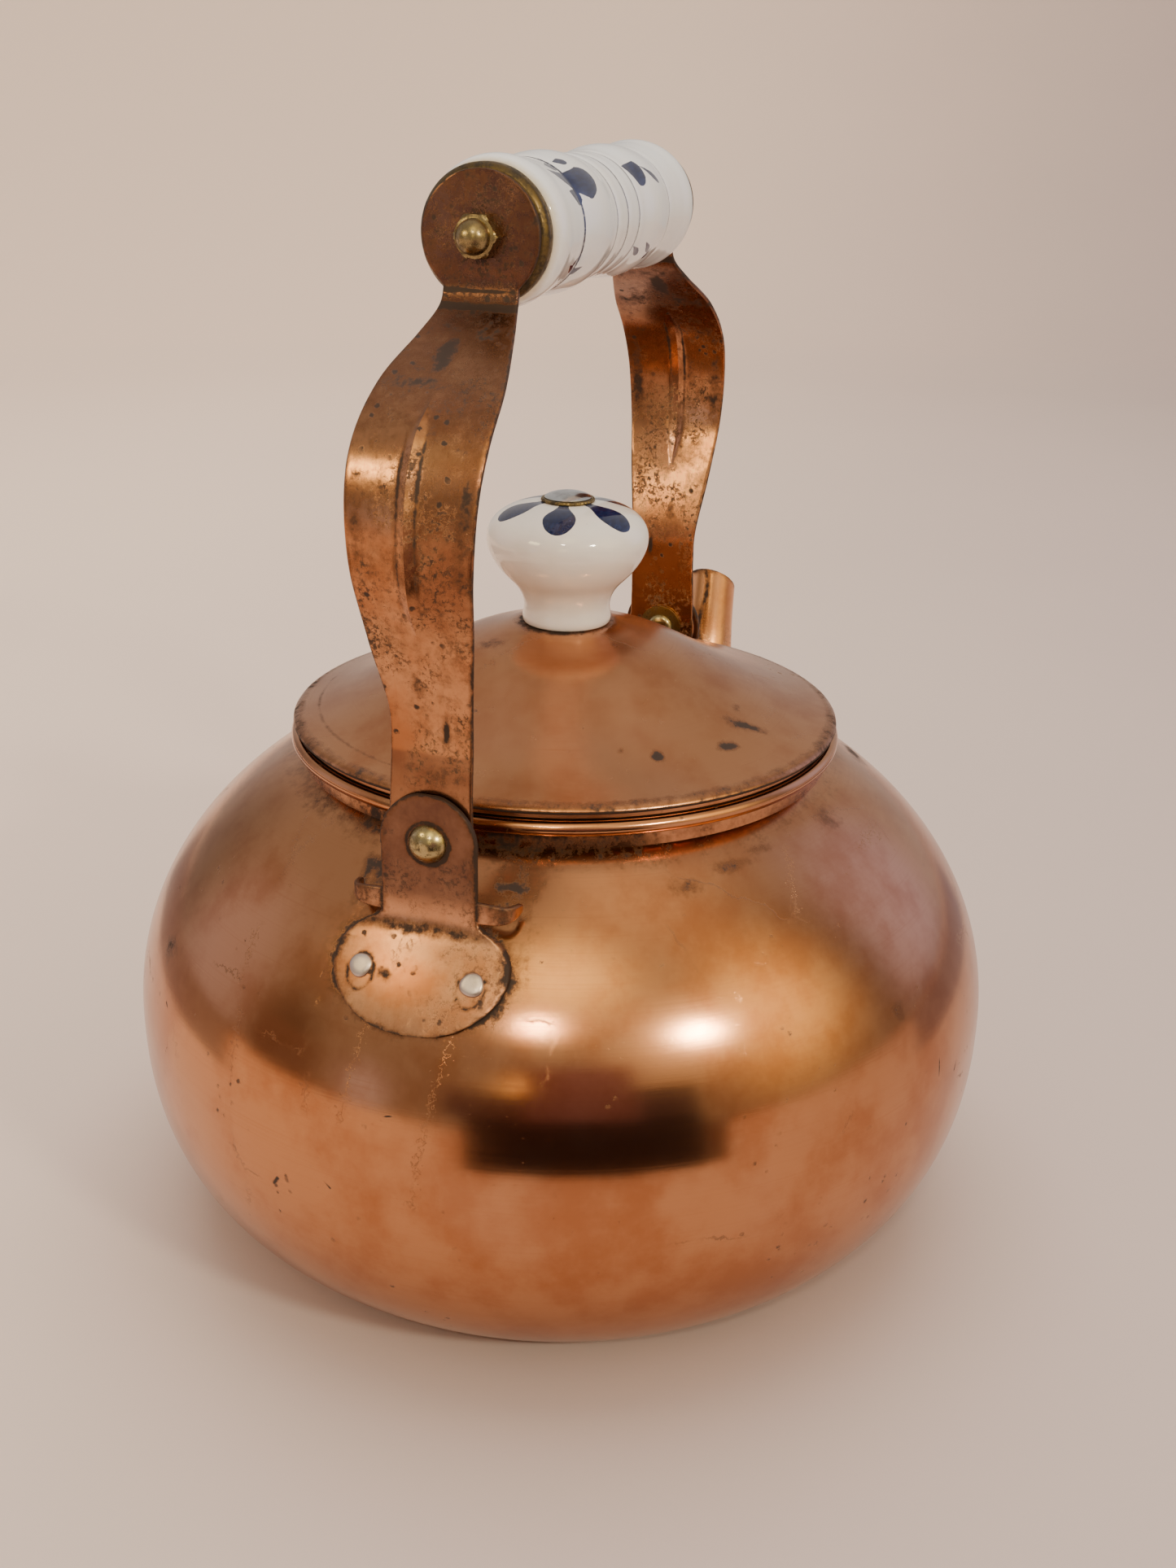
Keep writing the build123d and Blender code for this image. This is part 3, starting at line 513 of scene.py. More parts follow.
# band under the bead, strongest round the brackets
near_bracket = np.exp(-((180 - np.abs(ang)) / 46.0) ** 2) + np.exp(-(ang / 46.0) ** 2)
under = smoothstep(96.5, 100.5, v[:, 2]) * (v[:, 2] < 104.2)
tarnish_and_shade = np.maximum(tarnish_and_shade, under * (0.22 + 0.24 * np.clip(near_bracket, 0, 1)))
tarnish_and_shade = np.maximum(tarnish_and_shade, 0.15 * smoothstep(92, 100, v[:, 2]) * np.clip(near_bracket, 0, 1))


def smear(points, amount):
    """Soft stains round points given as (x, y, z, radius across, radius along the height)."""
    out = np.zeros(len(v))
    for px, py, pz, ra, rz in points:
        side = np.hypot(v[:, 0] - px, v[:, 1] - py)
        out = np.maximum(out, amount * np.exp(-(side / ra) ** 2 - ((v[:, 2] - pz) / rz) ** 2))
    return out


tarnish_and_shade = np.maximum(tarnish_and_shade, smear([(-49, -41, 96.0, 4.0, 1.4), (-40, -48, 97.2, 5.5, 1.0), (-33, -52, 98.2, 5.0, 0.8),
                               (-33, -78, 70, 2.6, 2.0), (-12, -55, 97.0, 6.0, 2.4), (30, -55, 95.5, 7.0, 2.0),
                               (40, 46, 96.0, 6.0, 2.0), (-58, 60, 70, 4.0, 3.0), (20, 84, 50, 4.0, 2.5)], 0.50))
tarnish_and_shade = np.maximum(tarnish_and_shade, 0.34 * (v[:, 2] < 0.6) + 0.25 * smoothstep(7, 2, v[:, 2]) * (r > 55))
# painted shade: the bead's inner top, in the gap under the lid rim, is darkened hard (0.80)
tarnish_and_shade = np.maximum(tarnish_and_shade, 0.80 * (v[:, 2] > 103.5) * smoothstep(55.3, 54.6, r))
inside = np.zeros(len(v), bool)
inside[-(len(inner) + 3) * 512:] = True

STROKES = [
    ((-82.5, -33.5, 45.0), (-83.8, -29.0, 52.0), 0.13), ((-63.0, -60.5, 60.5), (-61.2, -63.0, 56.5), 0.12),
    ((-24.0, -86.2, 62.0), (-25.0, -86.0, 53.0), 0.10), ((-8.0, -87.5, 62.0), (-14.0, -88.0, 55.0), 0.12),
    ((-14.0, -88.0, 55.0), (-17.5, -88.2, 50.5), 0.10), ((-88.6, 3.0, 62.0), (-80.0, -31.0, 67.5), 0.07),
    ((-88.2, 15.0, 48.0), (-89.0, 12.0, 45.5), 0.13), ((-86.5, 24.0, 43.0), (-86.0, 25.0, 41.5), 0.2),
    ((-76.0, -47.0, 30.0), (-79.5, -38.0, 25.0), 0.09), ((-52.0, -73.0, 48.0), (-46.0, -76.5, 44.5), 0.08),
    ((-66.0, 58.5, 62.0), (-70.0, 53.0, 58.0), 0.09), ((60.0, -66.0, 52.0), (66.5, -59.5, 57.0), 0.10),
    ((30.0, 83.0, 58.0), (44.0, 77.5, 55.0), 0.09),
]
copper_body = copper("copper_spun_body", rough=0.135, speck=0.9, tarnish_and_shade="tarnish_and_shade", strokes=STROKES, wave=0.3)
link("kettle_body", v, f, "kettle", [copper_body], ["body_shell"], attrs={"tarnish_and_shade": tarnish_and_shade})

# ---------------------------------------------------------------------------
# Spout: tapered tube with a bevelled, slightly rolled mouth
# ---------------------------------------------------------------------------
SPOUT = [(76.0, 44.5, 16.6), (88.0, 53.5, 14.2), (99.5, 66.0, 11.2), (106.8, 79.0, 8.7), (110.9, 90.0, 7.0),
         (113.6, 101.0, 6.35), (116.6, 114.0, 6.2), (117.9, 120.0, 6.2)]
line = spline(SPOUT, 400)
tang = np.gradient(line[:, :2], axis=0)
tang /= np.linalg.norm(tang, axis=1)[:, None]
SEG_S = 96
phi = np.arange(SEG_S) / SEG_S * TAU


def tube_point(k, ph, shrink):
    """Point on the spout's wall at sample k (fraction allowed) and angle ph."""
    i = np.arange(len(line))
    x, z, rr = (np.interp(k, i, line[:, j]) for j in range(3))
    tx, tz = np.interp(k, i, tang[:, 0]), np.interp(k, i, tang[:, 1])
    rr = rr - shrink
    return np.stack([x - tz * rr * np.cos(ph), rr * np.sin(ph), z + tx * rr * np.cos(ph)], -1)


def span(ph, shrink):
    ks = np.linspace(0, len(line) - 1, 1200)
    p = tube_point(ks, ph, shrink)
    gap = np.hypot(p[:, 0], p[:, 1]) - (belly(np.clip(p[:, 2], 0, 110)) - 0.35)
    start = ks[np.argmax(gap > 0)]
    cut = (p[:, 0] - 108.4) * 13.0 + (p[:, 2] - 111.9) * 13.5
    end = ks[np.argmax((cut > 0) & (ks > 150))]
    return start, end


rows_s = 90
pts = []
for shrink, order in ((0.0, 1), (0.8, -1)):
    grid = np.zeros((rows_s, SEG_S, 3))
    for j, ph in enumerate(phi):
        k0, k1 = span(ph, shrink)
        u = np.linspace(0, 1, rows_s)
        grid[:, j] = tube_point(k0 + (k1 - k0) * u, np.full(rows_s, ph), shrink)
    pts.append(grid[::order])
lip = (pts[0][-1] + pts[1][0]) / 2 + np.array([0.12, 0, 0.16])
root = (pts[0][0] + pts[1][-1]) / 2
loops = list(pts[0]) + [lip] + list(pts[1]) + [root]
v = np.concatenate(loops)
f = []
n = len(loops)
for a in range(n):
    b = (a + 1) % n
    for i in range(SEG_S):
        j = (i + 1) % SEG_S
        f.append([a * SEG_S + i, b * SEG_S + i, b * SEG_S + j, a * SEG_S + j])
mouth = ((v[:, 0] - 108.4) * 13.0 + (v[:, 2] - 111.9) * 13.5) / 18.74
tarnish_and_shade = np.exp(-np.abs(mouth) / 1.2) * 0.5
seam = np.exp(-((v[:, 1] - 0.6 * np.sin(v[:, 2] * 0.4)) / 1.1) ** 2) * (v[:, 0] < np.interp(v[:, 2], line[:, 1], line[:, 0])) * (v[:, 2] > 75)
tarnish_and_shade = np.maximum(tarnish_and_shade, 0.5 * seam)
foot = np.hypot(v[:, 0], v[:, 1]) - belly(np.clip(v[:, 2], 0, 110))
tarnish_and_shade = np.maximum(tarnish_and_shade, 0.55 * np.exp(-np.abs(foot) / 2.0))
# painted light: the spout's base and deep colours are a lighter copy of the copper, brightening the spout in place of
# its highlight
copper_spout = copper("copper_drawn_spout", rough=0.22, speck=0.8, tarnish_and_shade="tarnish_and_shade", grain="plain", wave=0.2, aniso=0.0,
                      base=(0.86, 0.43, 0.19), deep=(0.66, 0.27, 0.10))
link("kettle_spout", v, f, "kettle", [copper_spout], ["spout"], attrs={"tarnish_and_shade": tarnish_and_shade}, angle=50)

# ---------------------------------------------------------------------------
# Straps
# ---------------------------------------------------------------------------
STRAP = [(68.7, 98.95, 7.8), (68.7, 103.0, 7.8), (68.7, 107.1, 7.8), (68.7, 112.6, 7.75), (68.4, 117.5, 7.65), (67.8, 124.0, 7.6),
         (68.2, 131.4, 7.8), (71.8, 143.6, 9.5), (75.4, 155.7, 10.8), (75.0, 167.9, 11.55), (70.6, 177.0, 11.8),
         (61.5, 184.3, 11.1), (51.4, 190.4, 8.6), (46.0, 194.3, 7.1), (44.4, 197.6, 6.8), (44.4, 201.5, 6.8),
         (44.4, 206.1, 6.8), (44.4, 211.0, 6.8), (44.4, 216.65, 6.8)]
path = catmull(STRAP, 420)
for _ in range(3):
    path[1:-1, 0] = (path[:-2, 0] + 2 * path[1:-1, 0] + path[2:, 0]) / 4
    path[1:-1, 2] = (path[:-2, 2] + 2 * path[1:-1, 2] + path[2:, 2]) / 4


def strap_rows(side):
    rows = []
    t2 = np.gradient(path[:, :2], axis=0)
    t2 /= np.linalg.norm(t2, axis=1)[:, None]
    ends = [98.9, 216.7]
    for (x, z, w), (tx, tz) in zip(path, t2):
        disc = math.sqrt(max(10.6**2 - (z - 206.1) ** 2, 0)) if z > 195.5 and x < 47 else 0
        foot_ = math.sqrt(max(8.2**2 - (z - 107.1) ** 2, 0)) if z < 110 else 0
        if z > 197.0 and x < 46:
            ww = disc if z > 199 else max(disc, w)
        elif z < 107.1:
            ww = foot_
        else:
            ww = max(w, foot_)
        e = min(abs(z - ends[0]), abs(z - ends[1]))
        t = 1.0 * math.sqrt(max(1 - (1 - min(e / 0.35, 1.0)) ** 2, 0.04))
        rows.append({
            "c": np.array([side * x, 0.0, z]), "w": ww, "t": t, "z": z, "x": x,
            "across": np.array([0.0, -side * 1.0, 0.0]),
            "normal": np.array([side * tz, 0.0, -tx]),
        })
    return rows


def crease(row, y):
    z, w = row["z"], row["w"]
    if z < 138 or z > 190 or row["x"] < 50:
        return 0.0
    vee = float(smoothstep(140, 153, z) * smoothstep(187, 176, z))
    rib_w = 1.9 * float(smoothstep(143.0, 156.0, z) * smoothstep(184.5, 172.0, z)) + 1e-3
    rib = max(0.0, 1 - abs(y) / rib_w) ** 0.8
    return vee * 1.15 * (0.55 - abs(y) / max(w, 1)) + 0.66 * rib * min(1.0, rib_w / 1.2)


def strap_dirt(v, side):
    z, y, ax = v[:, 2], v[:, 1], np.abs(v[:, 0])
    w = np.interp(z, path[:, 1], path[:, 2])
    d = 0.19 + 0.12 * smoothstep(120, 190, z)
    on_disc = (z > 196) & (ax < 46.5)
    d = np.where(on_disc, 0.33, d)
    rim = np.where(on_disc, np.abs(np.hypot(y, z - 206.1) - 10.6), np.abs(np.abs(y) - w))
    d = np.maximum(d, 0.50 * np.exp(-rim / 0.7))
    for zz, a, sz in ((194.8, 0.80, 0.9), (197.3, 0.66, 0.5), (191.5, 0.40, 2.5)):
        d = np.maximum(d, a * np.exp(-((z - zz) / sz) ** 2))
    d = np.maximum(d, 0.66 * np.exp(-((y * side + 1.5) / 2.6) ** 2 - ((z - 188.5) / 3.6) ** 2))
    # dark dent low on the strap, and stained patches on the shoulder
    d = np.maximum(d, 0.62 * np.exp(-((y - side * 2.9) / 0.8) ** 2 - ((z - 127.5) / 3.4) ** 2))
    d = np.maximum(d, 0.46 * np.exp(-((y + side * 1.5) / 1.6) ** 2 - ((z - 135.5) / 3.0) ** 2))
    d = np.maximum(d, 0.46 * np.exp(-((np.abs(y) - w + 2.0) / 2.4) ** 2 - ((z - 165) / 16) ** 2))
    d = np.maximum(d, 0.40 * np.exp(-((z - 184.5) / 2.2) ** 2))
    d = np.maximum(d, 0.56 * np.exp(-np.abs(np.abs(y) - 1.7) / 0.5) * smoothstep(143, 150, z) * smoothstep(184, 176, z))
    d = np.maximum(d, 0.22 * smoothstep(118.5, 116.5, z))
    return d


def strap_shade(v, side):
    """Painted shade: darkens the strip towards brown on the end disc, up the neck and upper shoulder, on one half of
    the creased middle, and on the rear strap's foot.
    """
    z, y, ax = v[:, 2], v[:, 1], np.abs(v[:, 0])
    on_disc = (z > 196) & (ax < 46.5)
    k = np.where(on_disc, 0.86, 0.56 * smoothstep(172, 187, z) + 0.12 * smoothstep(188, 196, z))
    k = np.maximum(k, 0.30 * smoothstep(1.0, -2.5, -side * y) * smoothstep(142, 152, z) * smoothstep(186, 176, z))
    if side < 0:
        k = np.maximum(k, 0.46 * smoothstep(123.4, 122.6, z))
    return k


copper_strap = copper("copper_strip_strap", rough=0.19, speck=1.1, tarnish=1.0, tarnish_and_shade="tarnish_and_shade", grain="strip",
                      wave=0.28, aniso=0.2, base=(0.55, 0.262, 0.125), blotch=0.5, shade="shade", dusty=0.9)
for side, tag in ((-1, "rear"), (1, "front")):
    v, f = plate(strap_rows(side), 41, 0.38, crease)
    link(f"{tag}_handle_strap", v, f, "handle", [copper_strap], [f"{tag}_strap"],
         attrs={"tarnish_and_shade": strap_dirt(v, side), "shade": strap_shade(v, side)}, angle=32)

# ---------------------------------------------------------------------------
# Brackets
# ---------------------------------------------------------------------------


def bracket_mesh(side):
    z_rows = np.concatenate([76.2 + 1.2 * np.linspace(0.02, 1, 12) ** 2, np.linspace(77.6, 107.0, 100),
                             107.1 + 9.15 * np.sin(np.linspace(0.05, 1.545, 26))])
    verts, ring = [], 0
    t, re = 1.2, 0.38
    for z in z_rows:
        w = float(pad_width(z))
        end = min(abs(z - 76.2), abs(z - 116.25))
        tk = t * math.sqrt(max(1 - (1 - min(end / 0.4, 1.0)) ** 2, 0.05))
        w = max(w, 0.05)
        e = min(re, w * 0.6)
        ys = np.linspace(-1, 1, 45) * (w - e)
        loop = [(y, 0.0) for y in ys]
        loop += [(w - e + e * math.sin(a), -e + e * math.cos(a)) for a in (0.5, 1.05, 1.57)]
        loop += [(w - e + e * math.sin(a), -tk + e - e * math.cos(a)) for a in (1.57, 1.05, 0.5)]
        loop += [(y, -tk) for y in ys[::-1]]
        loop += [(-w + e - e * math.sin(a), -tk + e - e * math.cos(a)) for a in (0.5, 1.05, 1.57)]
        loop += [(-w + e - e * math.sin(a), -e + e * math.cos(a)) for a in (1.57, 1.05, 0.5)]
        ring = len(loop)
        nr, nz = belly_n(min(z, 100.0))
        for y, nrm in loop:
            rr = float(belly(min(z, 104.0))) + 1.27 / nr
            curved = math.sqrt(max(rr * rr - y * y, 0.0))
            k = 1.1
            a, b = curved / k, 70.6 / k
            top = k * (max(a, b) + math.log1p(math.exp(-abs(a - b)))) - (k * 0.693 if abs(a - b) < 0 else 0)
            tilt = 1 / (1 + math.exp((z - 90.5) / 1.2))
            x = top + nrm * (tilt / max(nr, 0.5) + 1 - tilt)
            drop = 0.0
            verts.append((side * x, side * y, z + drop))
    rows = len(z_rows)
    faces = [[k * ring + i, k * ring + (i + 1) % ring, (k + 1) * ring + (i + 1) % ring, (k + 1) * ring + i]
             for k in range(rows - 1) for i in range(ring)]
    faces.append(list(range(ring))[::-1])
    faces.append([(rows - 1) * ring + i for i in range(ring)])
    # stop lugs
    for s in (-1, 1):
        cl = catmull([(70.0, 7.0, 2.1), (70.0, 10.0, 2.0), (69.95, 12.4, 1.85), (69.5, 14.0, 1.6), (68.3, 14.9, 1.35), (66.9, 15.25, 1.1), (65.9, 15.4, 0.8)], 40)
        tg = np.gradient(cl[:, :2], axis=0)
        tg /= np.linalg.norm(tg, axis=1)[:, None]
        rows_l = []
        for (x, y, hgt), (tx, ty) in zip(cl, tg):
            rows_l.append({"c": np.array([side * x, side * s * y, 95.1 + 0.25 * (2.1 - hgt)]), "w": hgt, "t": 1.1,
                           "across": np.array([0, 0, 1.0]), "normal": np.array([side * ty, -side * s * tx, 0.0])})
        lv, lf = plate(rows_l, 11, 0.35)
        base = len(verts)
        verts += [tuple(p) for p in lv]
        faces += [[i + base for i in q] for q in lf]
    return np.array(verts, float), faces


# painted light: the bracket's base colour is a lighter copy of the copper, brightening the brackets
copper_bracket = copper("copper_bracket", rough=0.26, speck=1.0, tarnish_and_shade="tarnish_and_shade", grain="plain", wave=0.15, aniso=0.0,
                        base=(0.60, 0.30, 0.160), blotch=0.55, shade="shade", dusty=0.6)
for side, tag in ((-1, "rear"), (1, "front")):
    v, f = bracket_mesh(side)
    y, z = v[:, 1], v[:, 2]
    gap = np.where(z > 92.5, np.minimum(np.abs(np.abs(y) - 9.05), np.where(z > 107.1, np.abs(np.hypot(y, z - 107.1) - 9.1), 99)),
                   np.abs(np.abs(y) - pad_width(z)))
    low_edge = np.abs(np.hypot(y / 16.6, (z - 84.4) / 8.3) - 1) * 10
    gap = np.where(z < 88, np.minimum(gap, low_edge), gap)
    tarnish_and_shade = 0.12 + 0.46 * np.exp(-gap / 0.8)
    tarnish_and_shade = np.maximum(tarnish_and_shade, 0.62 * np.exp(-((np.hypot(y, z - 107.1) - 4.0) / 0.7) ** 2))
    tarnish_and_shade = np.maximum(tarnish_and_shade, 0.48 * np.exp(-((z - 91.0) / 1.6) ** 2))
    tarnish_and_shade = np.maximum(tarnish_and_shade, 0.40 * smoothstep(9, 12, np.abs(y)) * (z > 91.5))
    for yy in (-10.45, 10.45):
        tarnish_and_shade = np.maximum(tarnish_and_shade, 0.50 * np.exp(-((np.hypot(y - yy, z - 83.7) - 2.5) / 0.5) ** 2))
    tarnish_and_shade = np.maximum(tarnish_and_shade, 0.5 * np.exp(-((y + 5.6 * side) / 1.8) ** 2 - ((z - 84.0) / 1.2) ** 2))
    # painted shade: the upright ear above z 93 is darkened through the shade attribute
    link(f"{tag}_handle_bracket", v, f, "kettle", [copper_bracket], [f"{tag}_bracket"],
         attrs={"tarnish_and_shade": tarnish_and_shade, "shade": 0.80 * smoothstep(93, 98, z)}, angle=40)

# ---------------------------------------------------------------------------
# Rivets
# ---------------------------------------------------------------------------
alu = plain_metal("aluminium_rivet", (0.60, 0.50, 0.45), (0.38, 0.30, 0.26), 0.38)
brass_dome = brass("aged_brass_dome", (0.42, 0.33, 0.16), (0.10, 0.07, 0.03), 0.22, 0.35)
for side, tag in ((-1, "rear"), (1, "front")):
    allv, allf = [], []
    for y0 in (-10.45, 10.45):
        rr = float(belly(83.7))
        x0 = side * math.sqrt(rr * rr - y0 * y0)
        nr, nz = belly_n(83.7)
        nrm = Vector((float(nr) * x0 / rr, float(nr) * y0 / rr, float(nz)))
        prof = [(0, 2.02), (0.9, 2.02), (1.55, 1.97), (1.95, 1.82), (2.16, 1.55), (2.2, 1.3), (2.2, 1.26), (1.5, 1.26), (1.5, -0.95), (2.5, -0.98), (2.45, -1.5), (1.9, -1.85), (0, -1.95)]
        prof = prof[::-1]
        rv, rf = revolve(prof, 48)
        wob = 1 + 0.035 * np.cos(3 * np.arctan2(rv[:, 1], rv[:, 0]) + y0)
        rv[:, 0] *= wob
        rv[:, 1] *= wob
        q = nrm.to_track_quat("Z", "Y").to_matrix()
        rv = rv @ np.array(q).T + np.array([x0, y0, 83.7])
        base = len(allv)
        allv += [tuple(p) for p in rv]
        allf += [[i + base for i in q2] for q2 in rf]
    link(f"{tag}_pad_rivets", allv, allf, "kettle", [alu], [f"{tag}_bracket_rivets"], angle=40)
    d = [(0, 72.95), (0.8, 72.90), (1.5, 72.72), (2.2, 72.38), (2.8, 71.9), (3.25, 71.35), (3.5, 70.85), (3.55, 70.66), (3.3, 70.62), (2.0, 70.62),
         (2.0, 67.45), (3.0, 67.43), (2.8, 66.9), (2.2, 66.55), (0, 66.55)]
    rv, rf = revolve(d, 64, "X", 107.1)
    if side < 0:
        rv[:, 0] *= -1
        rf = [q[::-1] for q in rf]
    rf = [q[::-1] for q in rf]
    link(f"{tag}_hinge_rivet", rv, rf, "kettle", [brass_dome], [f"{tag}_pivot_rivet"], angle=40)

# ---------------------------------------------------------------------------
# Grip with its caps and nuts
# ---------------------------------------------------------------------------
ZG = 206.1
half = [(40.85, 3.0), (40.85, 10.9), (40.78, 11.3), (40.6, 11.6), (40.1, 11.95), (39.4, 12.3), (38.4, 12.55), (37.0, 12.66), (35.4, 12.55)]
half = half[:3] + [tuple(p) for p in spline(half[2:] + [(33.6, 12.3), (31.5, 12.1), (28.0, 11.78), (26.2, 11.62), (25.5, 11.5)], 90)]
lobe = [tuple(p) for p in spline([(25.5, 11.5), (24.6, 11.72), (22.0, 12.1), (17.0, 12.45), (12.0, 12.12), (8.8, 11.66), (7.1, 11.45), (6.6, 11.28)], 90)]
mid = [tuple(p) for p in spline([(6.6, 11.28), (5.9, 11.45), (3.3, 11.5), (0.9, 11.38), (0.0, 11.2)], 40)]
right = [(rr, x) for x, rr in half] + [(rr, x) for x, rr in lobe[1:]] + [(rr, x) for x, rr in mid[1:]]
prof = right + [(rr, -x) for rr, x in right[-2::-1]]
v, f = revolve(prof, 384, "X", ZG, closed=True)
f = [q[::-1] for q in f]
GX, GA = v[:, 0], np.degrees(np.arctan2(v[:, 1], v[:, 2] - ZG))


def blade(x, a, x0, a0, x1, a1, width, peak=0.6, bend=0.0):
    """How far inside a brushed leaf from (x0, a0) to (x1, a1) a point lies. a is in degrees round the grip."""
    k = 12.4 * math.pi / 180
    da = (a - (a0 + a1) / 2 + 180) % 360 - 180 + (a0 + a1) / 2
    px, py = x - x0, (da - a0) * k
    dx, dy = x1 - x0, (a1 - a0) * k
    length = math.hypot(dx, dy)
    t = (px * dx + py * dy) / length**2
    lat = (px * -dy + py * dx) / length - bend * np.sin(np.clip(t, 0, 1) * math.pi)
    tt = np.clip(t, 0, 1)
    shape = (tt / peak) ** 0.9 * (tt < peak) + np.sqrt(np.maximum(1 - ((tt - peak) / (1 - peak)) ** 2, 0)) * (tt >= peak)
    return np.where((t > -0.08) & (t < 1.08), width * shape - np.abs(lat), -2.0) - 0.5 * np.abs(t - tt) * length


marks = []
for turn in (0.0, 180.0):
    marks += [
        blade(GX, GA, -38.0 + 6, -34.5 + turn, -16.0, -52.0 + turn, 3.2, 0.72, -1.2),
        blade(GX, GA, -29.6, -28.0 + turn, -25.4, -30.5 + turn, 1.3, 0.5),
        blade(GX, GA, -24.0, -24.5 + turn, -20.0, -29.0 + turn, 1.0, 0.5),
        blade(GX, GA, -29.2, -57.0 + turn, -24.6, -65.5 + turn, 1.6, 0.6),
        blade(GX, GA, -23.4, -56.0 + turn, -19.0, -62.0 + turn, 1.5, 0.55),
        blade(GX, GA, 5.2 + 2, -39.0 + turn, 13.2, -56.0 + turn, 3.0, 0.62),
        blade(GX, GA, 13.8, -45.0 + turn, 19.6, -63.0 + turn, 0.8, 0.6),
        blade(GX, GA, -30.0, -118.0 + turn, -26.5, -126.0 + turn, 0.75, 0.6),
        blade(GX, GA, -25.0, -112.0 + turn, -28.0, -119.0 + turn, 0.6, 0.6),
        blade(GX, GA, -22.5, -122.0 + turn, -26.0, -130.0 + turn, 0.7, 0.6),
        blade(GX, GA, 7.0, -118.0 + turn, 11.0, -127.0 + turn, 0.8, 0.6),
        blade(GX, GA, 12.0, -114.0 + turn, 15.5, -124.0 + turn, 0.7, 0.6),
        blade(GX, GA, 17.0, -120.0 + turn, 15.0, -132.0 + turn, 0.6, 0.6),
    ]
mark = np.max(np.array(marks), axis=0)
porcelain_grip = porcelain("porcelain_grip", "mark", [(-25.3, 0.44, 1.0), (-6.6, 0.34, 0.8), (0.0, 0.40, 0.9), (6.6, 0.34, 0.8), (25.3, 0.46, 1.0)],
                           warm_ends=(39.6, 41.6))
link("handle_grip", v, f, "handle", [porcelain_grip], ["grip"],
     attrs={"mark": mark, "mark_thin": 0.12 * smoothstep(2.0, 0.3, mark)}, angle=50)

cap_metal = brass("dark_brass_cap", (0.13, 0.088, 0.038), (0.035, 0.024, 0.013), 0.36, 0.6)
nut_metal = brass("aged_brass_nut", (0.27, 0.20, 0.095), (0.075, 0.05, 0.024), 0.26, 0.5)


def hexed(r, a, th):
    flat = 3.5 / np.cos((th + math.pi / 6) % (math.pi / 3) - math.pi / 6)
    return np.minimum(r, flat) if a < 44.92 + 2.62 else np.full(len(th), r)


for side, tag in ((-1, "rear"), (1, "front")):
    prof = [(2.1, 40.87), (11.2, 40.87), (11.42, 40.95), (11.5, 41.15), (11.5, 41.9), (11.42, 42.0), (11.5, 42.1), (11.5, 42.9), (11.3, 43.2),
            (10.9, 43.75), (10.7, 43.87), (2.1, 43.87)]
    rv, rf = revolve(prof, 160, "X", ZG, closed=True)
    if side < 0:
        rv[:, 0] *= -1
    else:
        rf = [q[::-1] for q in rf]
    link(f"{tag}_cap", rv, rf, "handle", [cap_metal], [f"{tag}_grip_cap"], angle=35)
    dome = [(0.0, 50.5), (0.7, 50.45), (1.35, 50.25), (1.95, 49.88), (2.45, 49.35), (2.8, 48.7), (2.95, 48.0), (2.95, 47.6), (3.25, 47.52)]
    prof = dome + [(3.5, 47.45), (3.8, 47.2), (4.1, 46.85), (4.1, 45.2), (3.9, 44.94), (2.0, 44.94)]
    rv, rf = revolve(prof, 144, "X", ZG, shape=hexed, phase=math.pi / 12)
    if side < 0:
        rv[:, 0] *= -1
        rf = [q[::-1] for q in rf]
    rf = [q[::-1] for q in rf]
    link(f"{tag}_cap_nut", rv, rf, "handle", [nut_metal], [f"{tag}_acorn_nut"], angle=28)

# ---------------------------------------------------------------------------
# Lid: dome with a rolled edge, and the collar under it
# ---------------------------------------------------------------------------
LID = [(9.3, 127.66), (14.0, 126.45), (20.0, 124.65), (26.0, 121.95), (32.0, 118.80), (38.0, 115.80), (44.0, 113.15),
       (49.0, 111.30), (54.0, 109.85)]
top = spline(LID, 170, (1, -0.05), (1, -0.27))
under_pts = [(9.3, 126.76)]
for i in range(1, len(LID)):
    a, b = LID[i - 1], LID[min(i + 1, len(LID) - 1)]
    l = math.hypot(b[0] - a[0], b[1] - a[1])
    under_pts.append((LID[i][0] - 0.9 * -(b[1] - a[1]) / l, LID[i][1] - 0.9 * (b[0] - a[0]) / l))
under = spline(under_pts, 60, (1, -0.05), (1, -0.27))
prof = [(2.3, 126.76)] + [tuple(p) for p in under]
prof += [(54.3, 108.75), (54.75, 108.4), (55.0, 108.2), (55.2, 108.15), (55.55, 108.16), (55.8, 108.3), (55.9, 108.55), (55.85, 108.85),
         (55.6, 109.2), (55.1, 109.55), (54.55, 109.75)]
prof += [tuple(p) for p in top[::-1]] + [(6.0, 127.7), (2.3, 127.7)]
v, f = revolve(prof, 420, closed=True)
r, ang, z = np.hypot(v[:, 0], v[:, 1]), np.degrees(np.arctan2(v[:, 1], v[:, 0])), v[:, 2]
edge = smoothstep(52.6, 54.4, r) * (z > 108.5)
tarnish_and_shade = 0.37 * edge
tarnish_and_shade = np.maximum(tarnish_and_shade, 0.36 * smoothstep(11.5, 9.0, r) + 0.25 * smoothstep(15.0, 9.5, r) * np.clip(np.cos(np.radians(ang - 150)), 0, 1))


def at(px, py, ra, rb, turn, amount):
    c, s = math.cos(math.radians(turn)), math.sin(math.radians(turn))
    dx, dy = v[:, 0] - px, v[:, 1] - py
    a, b = dx * c + dy * s, -dx * s + dy * c
    return amount * np.exp(-(a / ra) ** 2 - (b / rb) ** 2)


